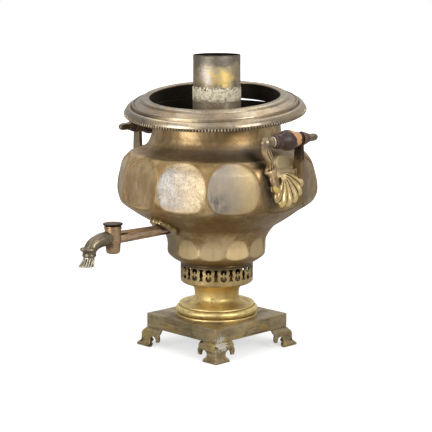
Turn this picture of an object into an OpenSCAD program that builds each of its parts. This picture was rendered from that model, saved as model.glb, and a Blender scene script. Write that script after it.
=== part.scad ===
// Faceted vase samovar with a loose top ring, a pierced gallery, a tap and two handles.
// Millimetres. Z is up from the feet's resting plane; the tap points along -Y; handles at +X and -X.

/* [Body] */
// Largest radius of the belly, on the ridges between facets
belly_r = 143.1; // [120:0.1:175]
// Height of the belly's widest line
belly_z = 230.7; // [208:0.1:252]
// Radius of the neck at its rim
neck_r = 88.7; // [78:0.1:108]
// Height of the neck's rim
rim_z = 347.3; // [325:0.1:380]
// Radius of the narrow cup under the belly
cup_r = 71.6; // [62:0.1:84]
// Height of the cup's flat underside, where the gallery begins
cup_z = 125.2; // [121:0.1:129]
// Thickness of the body's sheet
wall = 1.3; // [1:0.1:3]
// Number of facets round the belly, and round the cup
facet_n = 12; // [6:1:18]
// Turn of the facets from the handles' line, degrees
facet_turn = -5; // [-15:0.5:15]

/* [Fire tube] */
// Radius of the chimney's mouth
chimney_r = 33.5; // [28:0.1:42]
// Height of the chimney's mouth
chimney_top = 419.3; // [395:0.1:460]
// Outer radius of the firebox at the bottom
firebox_r = 47.5; // [42:0.5:50]
// Thickness of the tube's sheet
tube_wall = 1.3; // [1:0.1:3]
// Lower edge of the band that joins chimney and fire tube
band_z = 354.5; // [350:0.5:362]
// Height of that band
band_h = 20; // [14:0.5:26]

/* [Top ring] */
// Inner radius of the collar that drops over the neck
ring_in_r = 92.2; // [90:0.1:102]
// Radius of the beaded outer edge
ring_r = 128.8; // [118:0.1:146]
// Drop from the lip to the middle of the beaded edge
ring_drop = 20.5; // [16:0.1:26]
// Depth of the collar below the lip
collar_h = 22.5; // [18:0.5:28]
// Height of the lip's centre
ring_z = 361.5; // [357:0.5:372]
// Tilt of the ring as it lies, degrees
ring_tilt = 7.3; // [0:0.1:9]
// Direction in which it lies lowest, degrees from +X
ring_low = -56; // [-180:1:180]
// How far it has slid toward the tap
ring_slid = 4; // [0:0.1:4.3]

/* [Base] */
// Radius of the pierced gallery
gallery_r = 52.1; // [50:0.1:58]
// Height of the gallery's drum, from its top lip to its lower curve
gallery_h = 27.8; // [24:0.1:30]
// Number of pierced motifs
motif_n = 15; // [10:1:18]
// Radius of the stem at its narrowest
stem_r = 31.7; // [28:0.1:35]
// Radius of the rounded flange under the stem
flange_r = 59.1; // [54:0.1:66]
// Side of the square plinth
plinth_w = 143; // [125:0.5:165]
// Height of the plinth's skirt
plinth_h = 21; // [16:0.1:26]
// Height of the feet, from the resting plane to the skirt
foot_h = 25.6; // [20:0.1:32]
// Reach of each foot's wing along the plinth's side
foot_w = 31; // [24:0.5:38]
// Outward flare of the toe
foot_flare = 10.5; // [6:0.5:15]
// Thickness of plinth and feet
base_wall = 3; // [2:0.1:5]

/* [Tap] */
// Distance of the tap's barrel from the axis
barrel_y = 195; // [178:0.5:222]
// Height of the shank's centre line
shank_z = 182.1; // [178:0.1:186]
// Shank across its flats at the barrel
shank_w = 15.8; // [13:0.1:18]
// Radius of the barrel at its top
barrel_r = 11.2; // [10:0.1:14]
// Length of the barrel
barrel_l = 37.5; // [32:0.5:46]
// Radius of the plug's flat head
head_r = 13.6; // [12:0.1:17]
// Radius of the spout's tube
spout_r = 8.6; // [7.5:0.1:10]
// Distance from the barrel's axis to the nozzle's
spout_reach = 45; // [38:0.5:54]
// Height of the nozzle's mouth
nozzle_z = 150.2; // [143:0.1:155]
// Radius of the water way
way_r = 3.2; // [2.5:0.1:3.5]

/* [Handles] */
// Distance of the grips' axis from the samovar's axis
grip_x = 140.5; // [136:0.5:149]
// Height of the grips' axis
grip_z = 310.1; // [304:0.1:318]
// Largest radius of the wooden grip
grip_r = 14.3; // [12:0.1:18]
// Length of the turned grip
grip_l = 47; // [42:0.5:54]
// Radius of the handle rod
rod_r = 3.5; // [2.5:0.1:4.5]
// Width of the flat arm
arm_w = 13.3; // [11:0.1:16]
// Shift of both handles toward the tap
handle_shift = 3; // [0:0.1:6]
// Width of the leaf bracket
leaf_w = 64; // [54:0.5:72]
// Height of the leaf bracket
leaf_h = 58; // [50:0.5:64]
// Thickness of the leaf bracket
leaf_t = 6; // [4:0.1:8]

/* [Fits] */
// Gap all round a grip on its rod, and a plug in its barrel
run_gap = 0.06; // [0.02:0.01:0.1]
// Gap beside a turning grip at each end
end_gap = 0.35; // [0.3:0.05:0.6]

/* [Hidden] */
$fn = 96;
e = 0.01;
side = plinth_w / 2;
plinth_top = foot_h + plinth_h;
gal_top = cup_z;
gal_low = cup_z - gallery_h;
stem_top = gal_low - 5.7;
stem_low = plinth_top + 15.5;
seam_z = band_z + band_h / 2;
kb = belly_r / 143.1;
kc = cup_r / 71.6;
dz = belly_z - 230.7;
facet_in = 137.6 * kb;
facet_top = 128.1 * kb;
cup_flat = cup_r * cos(180 / facet_n);
grip_near = -28.3;
grip_far = grip_near + grip_l;
strap_y0 = grip_far + end_gap;
strap_t = 6;
barrel_top = shank_z + barrel_l * 0.44;
barrel_low = barrel_top - barrel_l;
slope = 30.7;
nozzle_y = -barrel_y - spout_reach;
bend = spout_reach - barrel_r - 4;
bend_z = shank_z - bend;
collar_top = bend_z + 22.6;
collar_low = collar_top - 12.5;

// ---- shared shapes

// Outline of the body's outside, radius and height, rim to underside
body_line = [[neck_r, rim_z], [neck_r + 0.5, 336.7], [neck_r + 2.3, 314], [neck_r + 4.8, 304.2],
  [neck_r + 7.4, 298.2], [neck_r + 10.8, 293.3], [neck_r + 17, 288.8], [121.7 * kb, 283.4],
  [127.9 * kb, 278.4 + dz], [133 * kb, 272.5 + dz], [136.6 * kb, 264.5 + dz], [139.9 * kb, 252.6 + dz],
  [142.1 * kb, 242.6 + dz], [belly_r, 230.7 + dz], [140.9 * kb, 219.7 + dz], [134.9 * kb, 211.2 + dz],
  [118.2 * kb, 199.2 + dz], [106.8 * kb, 192 + dz / 2], [87.2 * kb, 180.4], [cup_r + 9, 174.6],
  [cup_r + 4.5, 168.6], [cup_r + 1.6, 162.5], [cup_r, 156.5], [cup_r - 0.3, 149.5], [cup_r, 142.4],
  [69.2 * kc, 136.3], [62.8 * kc, 130.3], [54, cup_z]];

module body_outer(grow = 0) {
  difference() {
    rotate_extrude($fn = 120)
      polygon(concat([[0, rim_z]], [for (p = body_line) [p[0] + grow, p[1]]], [[0, cup_z]]));
    for (i = [0:facet_n - 1]) rotate([0, 0, facet_turn + i * 360 / facet_n]) belly_cut(grow);
    if (grow == 0) for (i = [0:facet_n - 1])
      rotate([0, 0, facet_turn + (i + 0.5) * 360 / facet_n]) cup_cut();
  }
}

// One soft, nearly flat facet of the belly: the outside of a large lying cylinder
module belly_cut(grow) {
  z0 = 213.7 + dz; z1 = 280.4 + dz; r = 190;
  m = [(facet_in + facet_top) / 2, (z0 + z1) / 2];
  d = [facet_top - facet_in, z1 - z0];
  half = norm(d) / 2;
  n = [-d[1], d[0]] / norm(d);
  c = m + n * sqrt(r * r - half * half);
  difference() {
    translate([facet_top - 8, -belly_r * 0.34, z0 - 3]) cube([60, belly_r * 0.68, z1 - z0 + 6]);
    translate([c[0] + grow, 0, c[1]]) rotate([90, 0, 0]) cylinder(r = r, h = belly_r, center = true, $fn = 240);
  }
}

// One facet of the cup, flat below and running out upward
module cup_cut() {
  w = cup_r * 0.62;
  translate([cup_flat, -w / 2, cup_z - 2]) cube([30, w, 150.3 - cup_z + 2]);
  translate([cup_flat + 25, 0, 150.3]) rotate([90, 0, 0]) cylinder(r = 25, h = w, center = true);
}

// Outline of the turned hollow inside the body
body_hole = [[neck_r - wall, rim_z + 1], [neck_r - wall + 0.5, 336.7], [neck_r + 2.3 - wall, 314],
  [neck_r + 4.8 - wall, 303.6], [neck_r + 10.8 - wall, 291.8], [121.2 * kb - wall - 4, 281.4],
  [facet_top - wall - 1, 273.5 + dz], [133.6 * kb - wall, 252.6 + dz], [136.1 * kb - wall, 230.7 + dz],
  [134.3 * kb - wall, 216.7 + dz], [114.6 * kb - wall, 200.2 + dz], [102.9 * kb - wall, 192.7 + dz / 2],
  [83.2 * kb - wall, 180.6], [cup_r + 0.4 - wall, 166.6], [cup_flat - wall, 158.5],
  [cup_flat - wall, 138.3], [60.8 * kc - wall, 131.8], [53.5 * kc - wall, cup_z + wall]];

module body_shell() {
  color([0.62, 0.5, 0.28]) difference() {
    body_outer();
    rotate_extrude($fn = 120) polygon(concat([[firebox_r, rim_z + 1]], body_hole, [[firebox_r, cup_z + wall]]));
    translate([0, 0, cup_z - 1]) cylinder(r = firebox_r, h = rim_z, $fn = 120);
    water_way();
  }
}

module water_way() {
  translate([0, 0, shank_z]) rotate([90, 0, 0]) cylinder(r = way_r, h = barrel_y + 30, $fn = 48);
}

module tube(r, t, z0, z1) {
  translate([0, 0, z0]) difference() {
    cylinder(r = r, h = z1 - z0);
    translate([0, 0, -1]) cylinder(r = r - t, h = z1 - z0 + 2);
  }
}

// ---- fire tube, chimney, grate

tube_line = [[firebox_r, cup_z], [firebox_r, cup_z + 62], [firebox_r - 4, cup_z + 105],
  [chimney_r + 1.6, 302], [chimney_r + 0.5, 332], [chimney_r + 0.5, seam_z]];

module fire_tube() {
  n = len(tube_line);
  color([0.36, 0.31, 0.24]) rotate_extrude()
    polygon(concat(tube_line, [for (i = [n - 1:-1:0]) tube_line[i] - [tube_wall, 0]]));
}

module chimney() {
  color([0.66, 0.55, 0.33]) rotate_extrude() polygon([[chimney_r + 0.5 - tube_wall, seam_z],
    [chimney_r + 0.5, seam_z], [chimney_r, band_z + band_h + 4], [chimney_r, chimney_top - 0.6],
    [chimney_r - 0.4, chimney_top],
    [chimney_r - tube_wall, chimney_top]]);
}

module joint_band() {
  color([0.72, 0.69, 0.58]) rotate_extrude() polygon([[chimney_r + 0.5, band_z],
    [chimney_r + 1.1, band_z], [chimney_r + 1.7, band_z + 2], [chimney_r + 1.7, band_z + band_h - 2],
    [chimney_r + 0.9, band_z + band_h], [chimney_r + 2 / (band_h / 2 + 4), band_z + band_h],
    [chimney_r + 0.5, seam_z]]);
}

module grate() {
  r = firebox_r - tube_wall - 0.4;
  color([0.2, 0.19, 0.18]) translate([0, 0, cup_z]) difference() {
    cylinder(r = r, h = 3);
    for (i = [-4:4]) translate([i * 9.4 - 2.2, -sqrt(pow(r - 6, 2) - pow(i * 9.4, 2)) + 1, -1])
      cube([4.4, 2 * sqrt(pow(r - 6, 2) - pow(i * 9.4, 2)) - 2, 6]);
  }
}

// ---- loose top ring

module ring_place() {
  translate([0, -ring_slid, ring_z]) rotate([0, 0, ring_low]) rotate([0, ring_tilt, 0]) children();
}

module top_ring() {
  a = ring_in_r;
  b = ring_r - 3;
  d = ring_drop;
  f = ring_r - ring_in_r - 36.2;
  color([0.55, 0.48, 0.36]) ring_place() rotate_extrude($fn = 120) polygon([[a, -collar_h],
    [a, -0.7], [a + 1, 0], [a + 7.6, 0], [a + 9, -1.4], [a + 9.4, -2.8], [a + 16, -5.2],
    [a + 22.6 + f, -8], [a + 24.6 + f, -9.3], [a + 25.3 + f, -11], [a + 26.3 + f, -11.1],
    [a + 29.6 + f, -11.6], [a + 32.6 + f, -13.4], [b + 1.5, -16], [b + 2.2, -d + 2.2],
    [b + 0.6, -d + 1.6], [b - 1, -16.8], [a + 31 + f, -14.4], [a + 27 + f, -13.1],
    [a + 23 + f, -12.6], [a + 20.5 + f, -9.2], [a + 9, -5], [a + 5, -2.6], [a + 1.6, -2.6],
    [a + 1.6, -collar_h]]);
}

module bead_edge() {
  color([0.66, 0.55, 0.36]) ring_place() rotate_extrude($fn = 120) polygon([
    [ring_r - 3 + 2.2, -ring_drop + 2.2], [ring_r - 3 + 0.6, -ring_drop + 1.6],
    [ring_r - 3.2, -ring_drop + 0.6], [ring_r - 3.2, -ring_drop - 1.4], [ring_r - 2, -ring_drop - 2.2],
    [ring_r - 0.4, -ring_drop - 1.8], [ring_r + 0.7, -ring_drop - 0.6], [ring_r + 0.7, -ring_drop + 1]]);
}

// ---- pierced gallery, stem, flange

module gallery_solid() {
  g = gallery_r;
  rotate_extrude($fn = 120) polygon(concat(
    [[g - 9, gal_top], [g + 0.9, gal_top], [g + 1.2, gal_top - 0.8], [g + 0.9, gal_top - 1.6],
     [g - 0.7, gal_top - 2.3], [g - 0.7, gal_top - 2.9], [g, gal_top - 3.4]],
    [for (t = [0:10:90]) [g - 15.5 + 15.5 * cos(t), gal_low - 5.7 * sin(t)]],
    [[stem_r - 2, stem_top]], [[stem_r - 2, stem_top + 2]],
    [for (t = [90:-10:0]) [g - 15.5 + 13.5 * cos(t), gal_low - 3.7 * sin(t)]],
    [[g - 2, gal_top - 4], [g - 9, gal_top - 2]]));
}

// Openings of one motif, seen from outside: across against height
module motif() {
  d = gallery_r / 52.1;
  for (s = [-1, 1]) {
    // the two stacked round holes, each with a tongue left standing in it
    translate([0, s * 4.7 * d]) difference() {
      scale([1.06, 1]) circle(r = 4.2 * d, $fn = 24);
      translate([-1.05 * d, s < 0 ? 0.6 * d : -4.6 * d]) square([2.1 * d, 4 * d]);
    }
  }
}

// The hourglass opening between one motif and the next
module hourglass() {
  d = gallery_r / 52.1;
  half = [[0, 8.2], [3.5, 8.6], [2.6, 6.9], [1.9, 4.7], [2.2, 2.8], [2.9, 1.2], [2.9, 0], [2.9, -1.2],
    [2.2, -2.8], [1.9, -4.7], [2.6, -6.9], [3.5, -8.6], [0, -8.2]];
  polygon(concat([for (p = half) p * d], [for (i = [11:-1:1]) [-half[i][0], half[i][1]] * d]));
}

module gallery() {
  color([0.76, 0.62, 0.32]) difference() {
    gallery_solid();
    for (i = [0:motif_n - 1]) {
      rotate([0, 0, 14.4 + i * 360 / motif_n]) translate([gallery_r - 6, 0, gal_top - 13.9])
        rotate([90, 0, 90]) linear_extrude(height = 10) motif();
      rotate([0, 0, 14.4 + (i + 0.5) * 360 / motif_n]) translate([gallery_r - 6, 0, gal_top - 13.9])
        rotate([90, 0, 90]) linear_extrude(height = 10) hourglass();
    }
  }
}

module stem() {
  lo = stem_low; hi = stem_top;
  c = lo + 12.5;
  color([0.78, 0.62, 0.28]) rotate_extrude() polygon(concat(
    [[stem_r - 4, hi], [stem_r + 1.5, hi], [stem_r + 0.5, hi - 3]],
    [for (t = [180:10:260]) [stem_r + 17 + 17 * cos(t), c + 10.9 * sin(t)]],
    [[flange_r - 5, lo + 1.2], [flange_r - 4.3, lo], [flange_r - 8, lo]],
    [for (t = [260:-10:180]) [stem_r + 17 + 20.5 * cos(t), c - 1.6 + 10.4 * sin(t)]]));
}

module stem_flange() {
  z0 = plinth_top; h = stem_low - plinth_top; r = flange_r;
  color([0.76, 0.6, 0.3]) rotate_extrude() polygon(concat(
    [[r - 14, z0], [r - 1.2, z0], [r - 1.2, z0 + 1.4]],
    [for (t = [-60:15:75]) [r - 6.4 + 6.4 * cos(t), z0 + 7.4 + 5.9 * sin(t)]],
    [[r - 5.6, stem_low - 0.8], [r - 5.6, stem_low], [r - 14, stem_low]]));
}

// ---- plinth and feet

module plinth() {
  color([0.5, 0.42, 0.27]) translate([0, 0, foot_h]) difference() {
    translate([-side, -side, 0]) cube([2 * side, 2 * side, plinth_h]);
    translate([-side + base_wall, -side + base_wall, -1])
      cube([2 * (side - base_wall), 2 * (side - base_wall), plinth_h - base_wall + 1]);
    translate([0, 0, -1]) cylinder(r = stem_r - 4, h = 60);
  }
}

// Cross-section of a foot, outward against height
module foot_section() {
  f = foot_flare; h = foot_h; t = base_wall;
  polygon([[0.6, h], [1.6, h * 0.94], [4.1, h * 0.84], [5.4, h * 0.72], [5.7, h * 0.58],
    [5.6, h * 0.42], [6.2, h * 0.27], [f - 1.6, h * 0.17], [f, h * 0.1], [f, 0], [f - 5, 0],
    [6.4 - t, h * 0.14], [5.6 - t, h * 0.42], [5.4 - t, h * 0.7], [3 - t, h * 0.86], [-t, h]]);
}

// Front view of one wing: along the side against height, corner at zero
module foot_front() {
  w = foot_w; h = foot_h;
  difference() {
    union() {
      translate([-20, 0]) square([20 + w * 0.52, h]);
      translate([0, h * 0.4]) square([w, h * 0.6]);
      translate([w * 0.86, h * 0.42]) circle(r = w * 0.125, $fn = 32);
    }
    translate([w * 0.6, h * 0.37]) circle(r = w * 0.19, $fn = 40);
    translate([w * 0.62, -1]) square([w * 0.5, h * 0.3 + 1]);
    translate([w + 1.6, h * 0.72]) circle(r = 3, $fn = 24);
  }
}

module wing() {
  intersection() {
    rotate([90, 0, 90]) translate([0, 0, -foot_w]) linear_extrude(height = foot_w + 20) foot_section();
    rotate([90, 0, 0]) translate([0, 0, -20]) linear_extrude(height = 40) mirror([1, 0]) foot_front();
    // the mitre at the corner
    translate([0, 0, -1]) linear_extrude(height = foot_h + 2)
      polygon([[-60, -5], [-5, -5], [20, 20], [20, 40], [-60, 40]]);
  }
}

// A foot for the corner at +X +Y; each wing runs along one side of the plinth
module foot() {
  translate([side, side, 0]) union() {
    wing();
    mirror([1, -1, 0]) wing();
  }
}

module foot_front_right() { color([0.54, 0.45, 0.28]) rotate([0, 0, -90]) foot(); }
module foot_back_right() { color([0.54, 0.45, 0.28]) foot(); }
module foot_back_left() { color([0.54, 0.45, 0.28]) rotate([0, 0, 90]) foot(); }
module foot_front_left() { color([0.54, 0.45, 0.28]) rotate([0, 0, 180]) foot(); }

// ---- tap

// The leaf-shaped plate on the slope under the belly, its flat face outward and down
plate_c = [0, -99.4, 187.9];

module plate_space() { translate(plate_c) rotate([-slope, 0, 0]) children(); }

module tap_plate() {
  color([0.5, 0.38, 0.22]) difference() {
    plate_space() translate([0, 0, -6.5]) linear_extrude(height = 12)
      polygon([for (t = [0:6:354]) (1 + 0.05 * cos(10 * t)) * [17 * sin(t), 24 * cos(t)]]);
    body_outer();
    water_way();
  }
}

// Eight-sided tapering bar, cut from four pairs of planes
module shank_bar(y0, y1, w0, w1) {
  translate([0, 0, shank_z]) intersection_for(a = [0, 45, 90, 135]) rotate([0, a, 0])
    translate([0, 0, -30]) linear_extrude(height = 60)
      polygon([[-w0 / 2, -y0], [w0 / 2, -y0], [w1 / 2, -y1], [-w1 / 2, -y1]]);
}

module tap_shank() {
  color([0.5, 0.38, 0.27]) difference() {
    shank_bar(92, barrel_y, shank_w * 0.84, shank_w);
    plate_space() translate([-40, -60, -6.5]) cube([80, 120, 60]);
    translate([0, -barrel_y, barrel_low - 5]) cylinder(r = barrel_r, h = barrel_l + 10);
    water_way();
  }
}

module tap_barrel() {
  r = barrel_r; z0 = barrel_low; z1 = barrel_top;
  color([0.5, 0.38, 0.24]) difference() {
    translate([0, -barrel_y, 0]) union() {
      rotate_extrude() polygon([[0, z0 + 1.4], [r - 5, z0], [r - 2.6, z0 + 1.2], [r - 1.6, z0 + 3.4],
        [r - 1.2, z0 + 10], [r - 0.5, shank_z - 6], [r, shank_z - 5], [r, z1 - 2.2], [r + 0.5, z1 - 1.4],
        [r + 0.5, z1], [0, z1]]);
    }
    translate([0, -barrel_y, 0]) rotate_extrude() polygon([[0, z0 + 4], [6.6, z0 + 4],
      [7.6, z1 + 1 / 30], [7.6, z1 + 5], [0, z1 + 5]]);
    water_way();
  }
}

module tap_plug() {
  z0 = barrel_low + 4; z1 = barrel_top; g = run_gap;
  color([0.42, 0.36, 0.3]) translate([0, -barrel_y, 0]) difference() {
    rotate_extrude() polygon([[0, z0 + 0.4], [6.6 - g, z0 + 0.4], [7.6 - g, z1], [7.6 - g, z1 + end_gap],
      [head_r - 2.6, z1 + end_gap], [head_r - 0.4, z1 + 1.9], [head_r, z1 + 2.4],
      [head_r, z1 + 3.4], [head_r - 0.5, z1 + 3.8], [0, z1 + 3.8]]);
    translate([0, 0, shank_z]) rotate([90, 0, 0]) cylinder(r = way_r, h = 40, center = true, $fn = 48);
  }
}

// The spout leaves the barrel level and bends down through a quarter circle
module tap_spout() {
  color([0.48, 0.41, 0.31]) difference() {
    union() {
      translate([0, -barrel_y, shank_z]) rotate([90, 0, 0]) cylinder(r = spout_r, h = barrel_r + 4);
      spout_bend(spout_r);
    }
    translate([0, -barrel_y, barrel_low - 5]) cylinder(r = barrel_r, h = barrel_l + 10);
    water_way();
    spout_bend(way_r);
    // the bend goes on inside the collar
    translate([-30, nozzle_y - 30, 100]) cube([60, 40 + barrel_r, collar_top - 100]);
  }
}

// Quarter torus from level to straight down
module spout_bend(r) {
  translate([0, -barrel_y - barrel_r - 4, bend_z])
    rotate([90, 0, 90]) rotate([0, 0, 90]) rotate_extrude(angle = 90, $fn = 96)
      translate([bend, 0]) circle(r = r, $fn = 48);
}

module tap_collar() {
  c = collar_low;
  color([0.5, 0.43, 0.32]) difference() {
    union() {
      translate([0, nozzle_y, 0]) rotate_extrude() polygon([[0, c], [8.6, c], [9.4, c + 1],
        [9.4, c + 3.4], [8.4, c + 4.4], [8.4, c + 8.6], [9.7, c + 9.6], [9.9, c + 11.4],
        [9.3, c + 12.5], [0, c + 12.5]]);
      // the pointed lip at the front
      translate([-4, nozzle_y - 13.4, c + 6]) rotate([0, 90, 0]) linear_extrude(height = 8)
        polygon([[-5.6, 0], [-4, 5.2], [0, 5.2], [0.8, 2], [-2.6, -0.4]]);
    }
    translate([0, nozzle_y, c - 10]) cylinder(r = way_r + 1.4, h = 40, $fn = 48);
    spout_bend(spout_r + e);
  }
}

module tap_nozzle() {
  t = collar_low;
  color([0.6, 0.54, 0.4]) difference() {
    intersection() {
      translate([0, nozzle_y, t]) rotate([-13, 0, 0]) translate([0, 0, -18])
        cylinder(r1 = 11, r2 = 6.6, h = 24, $fn = 48);
      translate([-20, nozzle_y - 30, nozzle_z]) cube([40, 60, t - nozzle_z]);
    }
    translate([0, nozzle_y, 130]) cylinder(r = way_r, h = 45, $fn = 48);
    translate([0, nozzle_y, t]) rotate([-13, 0, 0]) translate([0, 0, -18.5])
      cylinder(r1 = 9, r2 = way_r, h = 14, $fn = 48);
  }
}

// ---- handles: each is drawn at +X; the other is the same, turned half round

module handle_place(s) {
  translate([0, -handle_shift, 0]) rotate([0, 0, s > 0 ? 0 : 180])
    translate([grip_x, 0, grip_z]) children();
}

module along_rod() { rotate([-90, 0, 0]) children(); }

module leaf_outline() {
  w = leaf_w / 2; h = leaf_h / 2;
  union() {
    scale([w * 0.62, h]) circle(r = 1, $fn = 64);
    for (s = [-1, 1]) {
      translate([s * w * 0.56, h * 0.5]) circle(r = w * 0.44, $fn = 40);
      translate([s * w * 0.5, -h * 0.02]) circle(r = w * 0.4, $fn = 40);
      translate([s * w * 0.34, -h * 0.46]) circle(r = w * 0.36, $fn = 40);
    }
  }
}

leaf_y = -1.2;
leaf_z = 241.7;

module leaf(s) {
  difference() {
    intersection() {
      translate([0, -handle_shift, 0]) rotate([0, 0, s > 0 ? 0 : 180]) translate([60, leaf_y, leaf_z])
        rotate([90, 0, 90]) linear_extrude(height = 120) leaf_outline();
      rotate_extrude($fn = 120) polygon(concat([[belly_r * 0.6, 288]],
        [for (i = [7:16]) body_line[i] + [leaf_t, 0]], [[belly_r * 0.6, 199]]));
    }
    body_outer();
  }
}

module leaf_right() { color([0.62, 0.52, 0.3]) leaf(1); }
module leaf_left() { color([0.62, 0.52, 0.3]) leaf(-1); }

// The arm with the ball: an arc from the ball down and in to the leaf
module ball_arm_shape() {
  translate([0, -45, 0]) sphere(r = 7.6);
  along_rod() translate([0, 0, -39]) cylinder(r = 5.6, h = 9.6 - 2.5);
  translate([-4.4, -45, 0]) rotate([90, 0, 90]) linear_extrude(height = 8.4) difference() {
    intersection() {
      translate([48, -4]) circle(r = 53.5, $fn = 96);
      translate([-12, -56]) square([46, 54]);
    }
    translate([50, -2]) circle(r = 44.5, $fn = 96);
  }
}

module ball_arm(s) {
  difference() {
    handle_place(s) ball_arm_shape();
    arm_base_cut(s);
    handle_place(s) along_rod() translate([0, 0, -48]) cylinder(r = rod_r, h = 40, $fn = 48);
  }
}

// Where an arm ends, against the leaf and the body
module arm_base_cut(s) {
  leaf(s);
  body_outer();
  translate([0, 0, 190]) cylinder(r = belly_r * 2, h = 65.7);
}

module flat_arm_shape() {
  translate([0, strap_y0, 0]) rotate([-90, 0, 0]) linear_extrude(height = strap_t) union() {
    circle(r = 8, $fn = 48);
    polygon([[-arm_w * 0.42, 0], [arm_w * 0.42, 0], [arm_w * 0.56, 30], [arm_w * 0.5, 48],
      [arm_w * 0.1, 58], [-arm_w * 0.9, 60], [-arm_w * 0.8, 44], [-arm_w * 0.5, 30]]);
  }
}

module flat_arm(s) {
  difference() {
    handle_place(s) flat_arm_shape();
    arm_base_cut(s);
    handle_place(s) along_rod() translate([0, 0, 0]) cylinder(r = rod_r, h = 60, $fn = 48);
  }
}

module rod(s) {
  y1 = strap_y0 + strap_t + 13.6;
  handle_place(s) along_rod() {
    translate([0, 0, -44]) cylinder(r = rod_r, h = 44 + y1, $fn = 48);
    rotate_extrude($fn = 64) polygon([[0, y1], [6, y1], [6.3, y1 + 1.5], [5.2, y1 + 3], [5.3, y1 + 12],
      [4.6, y1 + 16], [3, y1 + 18.4], [0, y1 + 19.2]]);
  }
}

module washer(s) {
  handle_place(s) along_rod() difference() {
    translate([0, 0, -31.9]) cylinder(r = 7.3, h = 2.9 - end_gap, $fn = 64);
    translate([0, 0, -40]) cylinder(r = rod_r, h = 20, $fn = 48);
  }
}

module grip(s) {
  r = grip_r; a = grip_near; l = grip_l;
  handle_place(s) along_rod() difference() {
    rotate_extrude($fn = 72) polygon(concat(
      [[0, a], [r * 0.55, a], [r * 0.64, a + 1.6], [r * 0.6, a + 3.4], [r * 0.7, a + 5],
       [r * 0.74, a + 8.4], [r * 0.68, a + 11.4], [r * 0.6, a + 12.6], [r * 0.66, a + 13.8]],
      [for (t = [-60:12:60]) [r * (0.2 + 0.8 * cos(t * 0.9)), a + 27.6 + t * 0.225]],
      [[r * 0.72, a + 42], [r * 0.66, a + 43.6], [r * 0.72, a + 45], [r * 0.66, a + l], [0, a + l]]));
    translate([0, 0, a - 1]) cylinder(r = rod_r + run_gap, h = l + 2, $fn = 48);
  }
}

module end_collar(s) {
  z = strap_y0 + strap_t;
  handle_place(s) along_rod() difference() {
    rotate_extrude($fn = 64) polygon([[0, z], [9.2, z], [9.8, z + 2.4], [9.2, z + 5], [7.8, z + 6],
      [8.4, z + 8], [7.2, z + 11], [6, z + 13.6], [0, z + 13.6]]);
    translate([0, 0, z - 1]) cylinder(r = rod_r, h = 30, $fn = 48);
  }
}

module ball_arm_right() { color([0.64, 0.54, 0.32]) ball_arm(1); }
module ball_arm_left() { color([0.64, 0.54, 0.32]) ball_arm(-1); }
module flat_arm_right() { color([0.45, 0.38, 0.26]) flat_arm(1); }
module flat_arm_left() { color([0.45, 0.38, 0.26]) flat_arm(-1); }
module rod_right() { color([0.5, 0.47, 0.33]) rod(1); }
module rod_left() { color([0.5, 0.47, 0.33]) rod(-1); }
module washer_right() { color([0.75, 0.72, 0.64]) washer(1); }
module washer_left() { color([0.75, 0.72, 0.64]) washer(-1); }
module grip_right() { color([0.24, 0.16, 0.16]) grip(1); }
module grip_left() { color([0.24, 0.16, 0.16]) grip(-1); }
module end_collar_right() { color([0.22, 0.15, 0.15]) end_collar(1); }
module end_collar_left() { color([0.22, 0.15, 0.15]) end_collar(-1); }

body_shell();
fire_tube();
chimney();
joint_band();
grate();
top_ring();
bead_edge();
gallery();
stem();
stem_flange();
plinth();
foot_front_right();
foot_back_right();
foot_back_left();
foot_front_left();
tap_plate();
tap_shank();
tap_barrel();
tap_plug();
tap_spout();
tap_collar();
tap_nozzle();
leaf_right();
leaf_left();
ball_arm_right();
ball_arm_left();
flat_arm_right();
flat_arm_left();
rod_right();
rod_left();
washer_right();
washer_left();
grip_right();
grip_left();
end_collar_right();
end_collar_left();
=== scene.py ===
import math
from contextlib import contextmanager

import bmesh
import bpy
from mathutils import Matrix, Vector, noise


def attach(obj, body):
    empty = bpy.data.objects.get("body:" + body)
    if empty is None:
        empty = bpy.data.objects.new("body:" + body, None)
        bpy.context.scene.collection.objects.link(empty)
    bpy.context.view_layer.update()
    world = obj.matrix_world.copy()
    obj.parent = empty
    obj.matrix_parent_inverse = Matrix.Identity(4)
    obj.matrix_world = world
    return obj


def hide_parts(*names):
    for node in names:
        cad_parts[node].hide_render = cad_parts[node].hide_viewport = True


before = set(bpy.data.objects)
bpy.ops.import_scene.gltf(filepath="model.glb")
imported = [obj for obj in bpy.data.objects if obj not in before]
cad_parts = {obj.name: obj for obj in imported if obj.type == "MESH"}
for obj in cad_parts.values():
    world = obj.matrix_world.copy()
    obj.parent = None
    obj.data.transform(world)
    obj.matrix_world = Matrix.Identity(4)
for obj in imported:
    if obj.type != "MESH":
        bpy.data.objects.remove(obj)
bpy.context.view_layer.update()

bl_info = {
    "name": "Faceted samovar",
    "version": (1, 0, 0),
    "blender": (4, 5, 0),
    "location": "3D View > Sidebar > Samovar",
    "description": "Builds the looks of a faceted brass samovar round its packed frame",
    "category": "Add Mesh",
}

MM = 0.001
SIDES = {"right": 1, "left": -1}
FEET = {"foot_back_right": 0, "foot_back_left": 90, "foot_front_left": 180, "foot_front_right": 270}

# ---- sizes shared by several pieces, millimetres and radians

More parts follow.
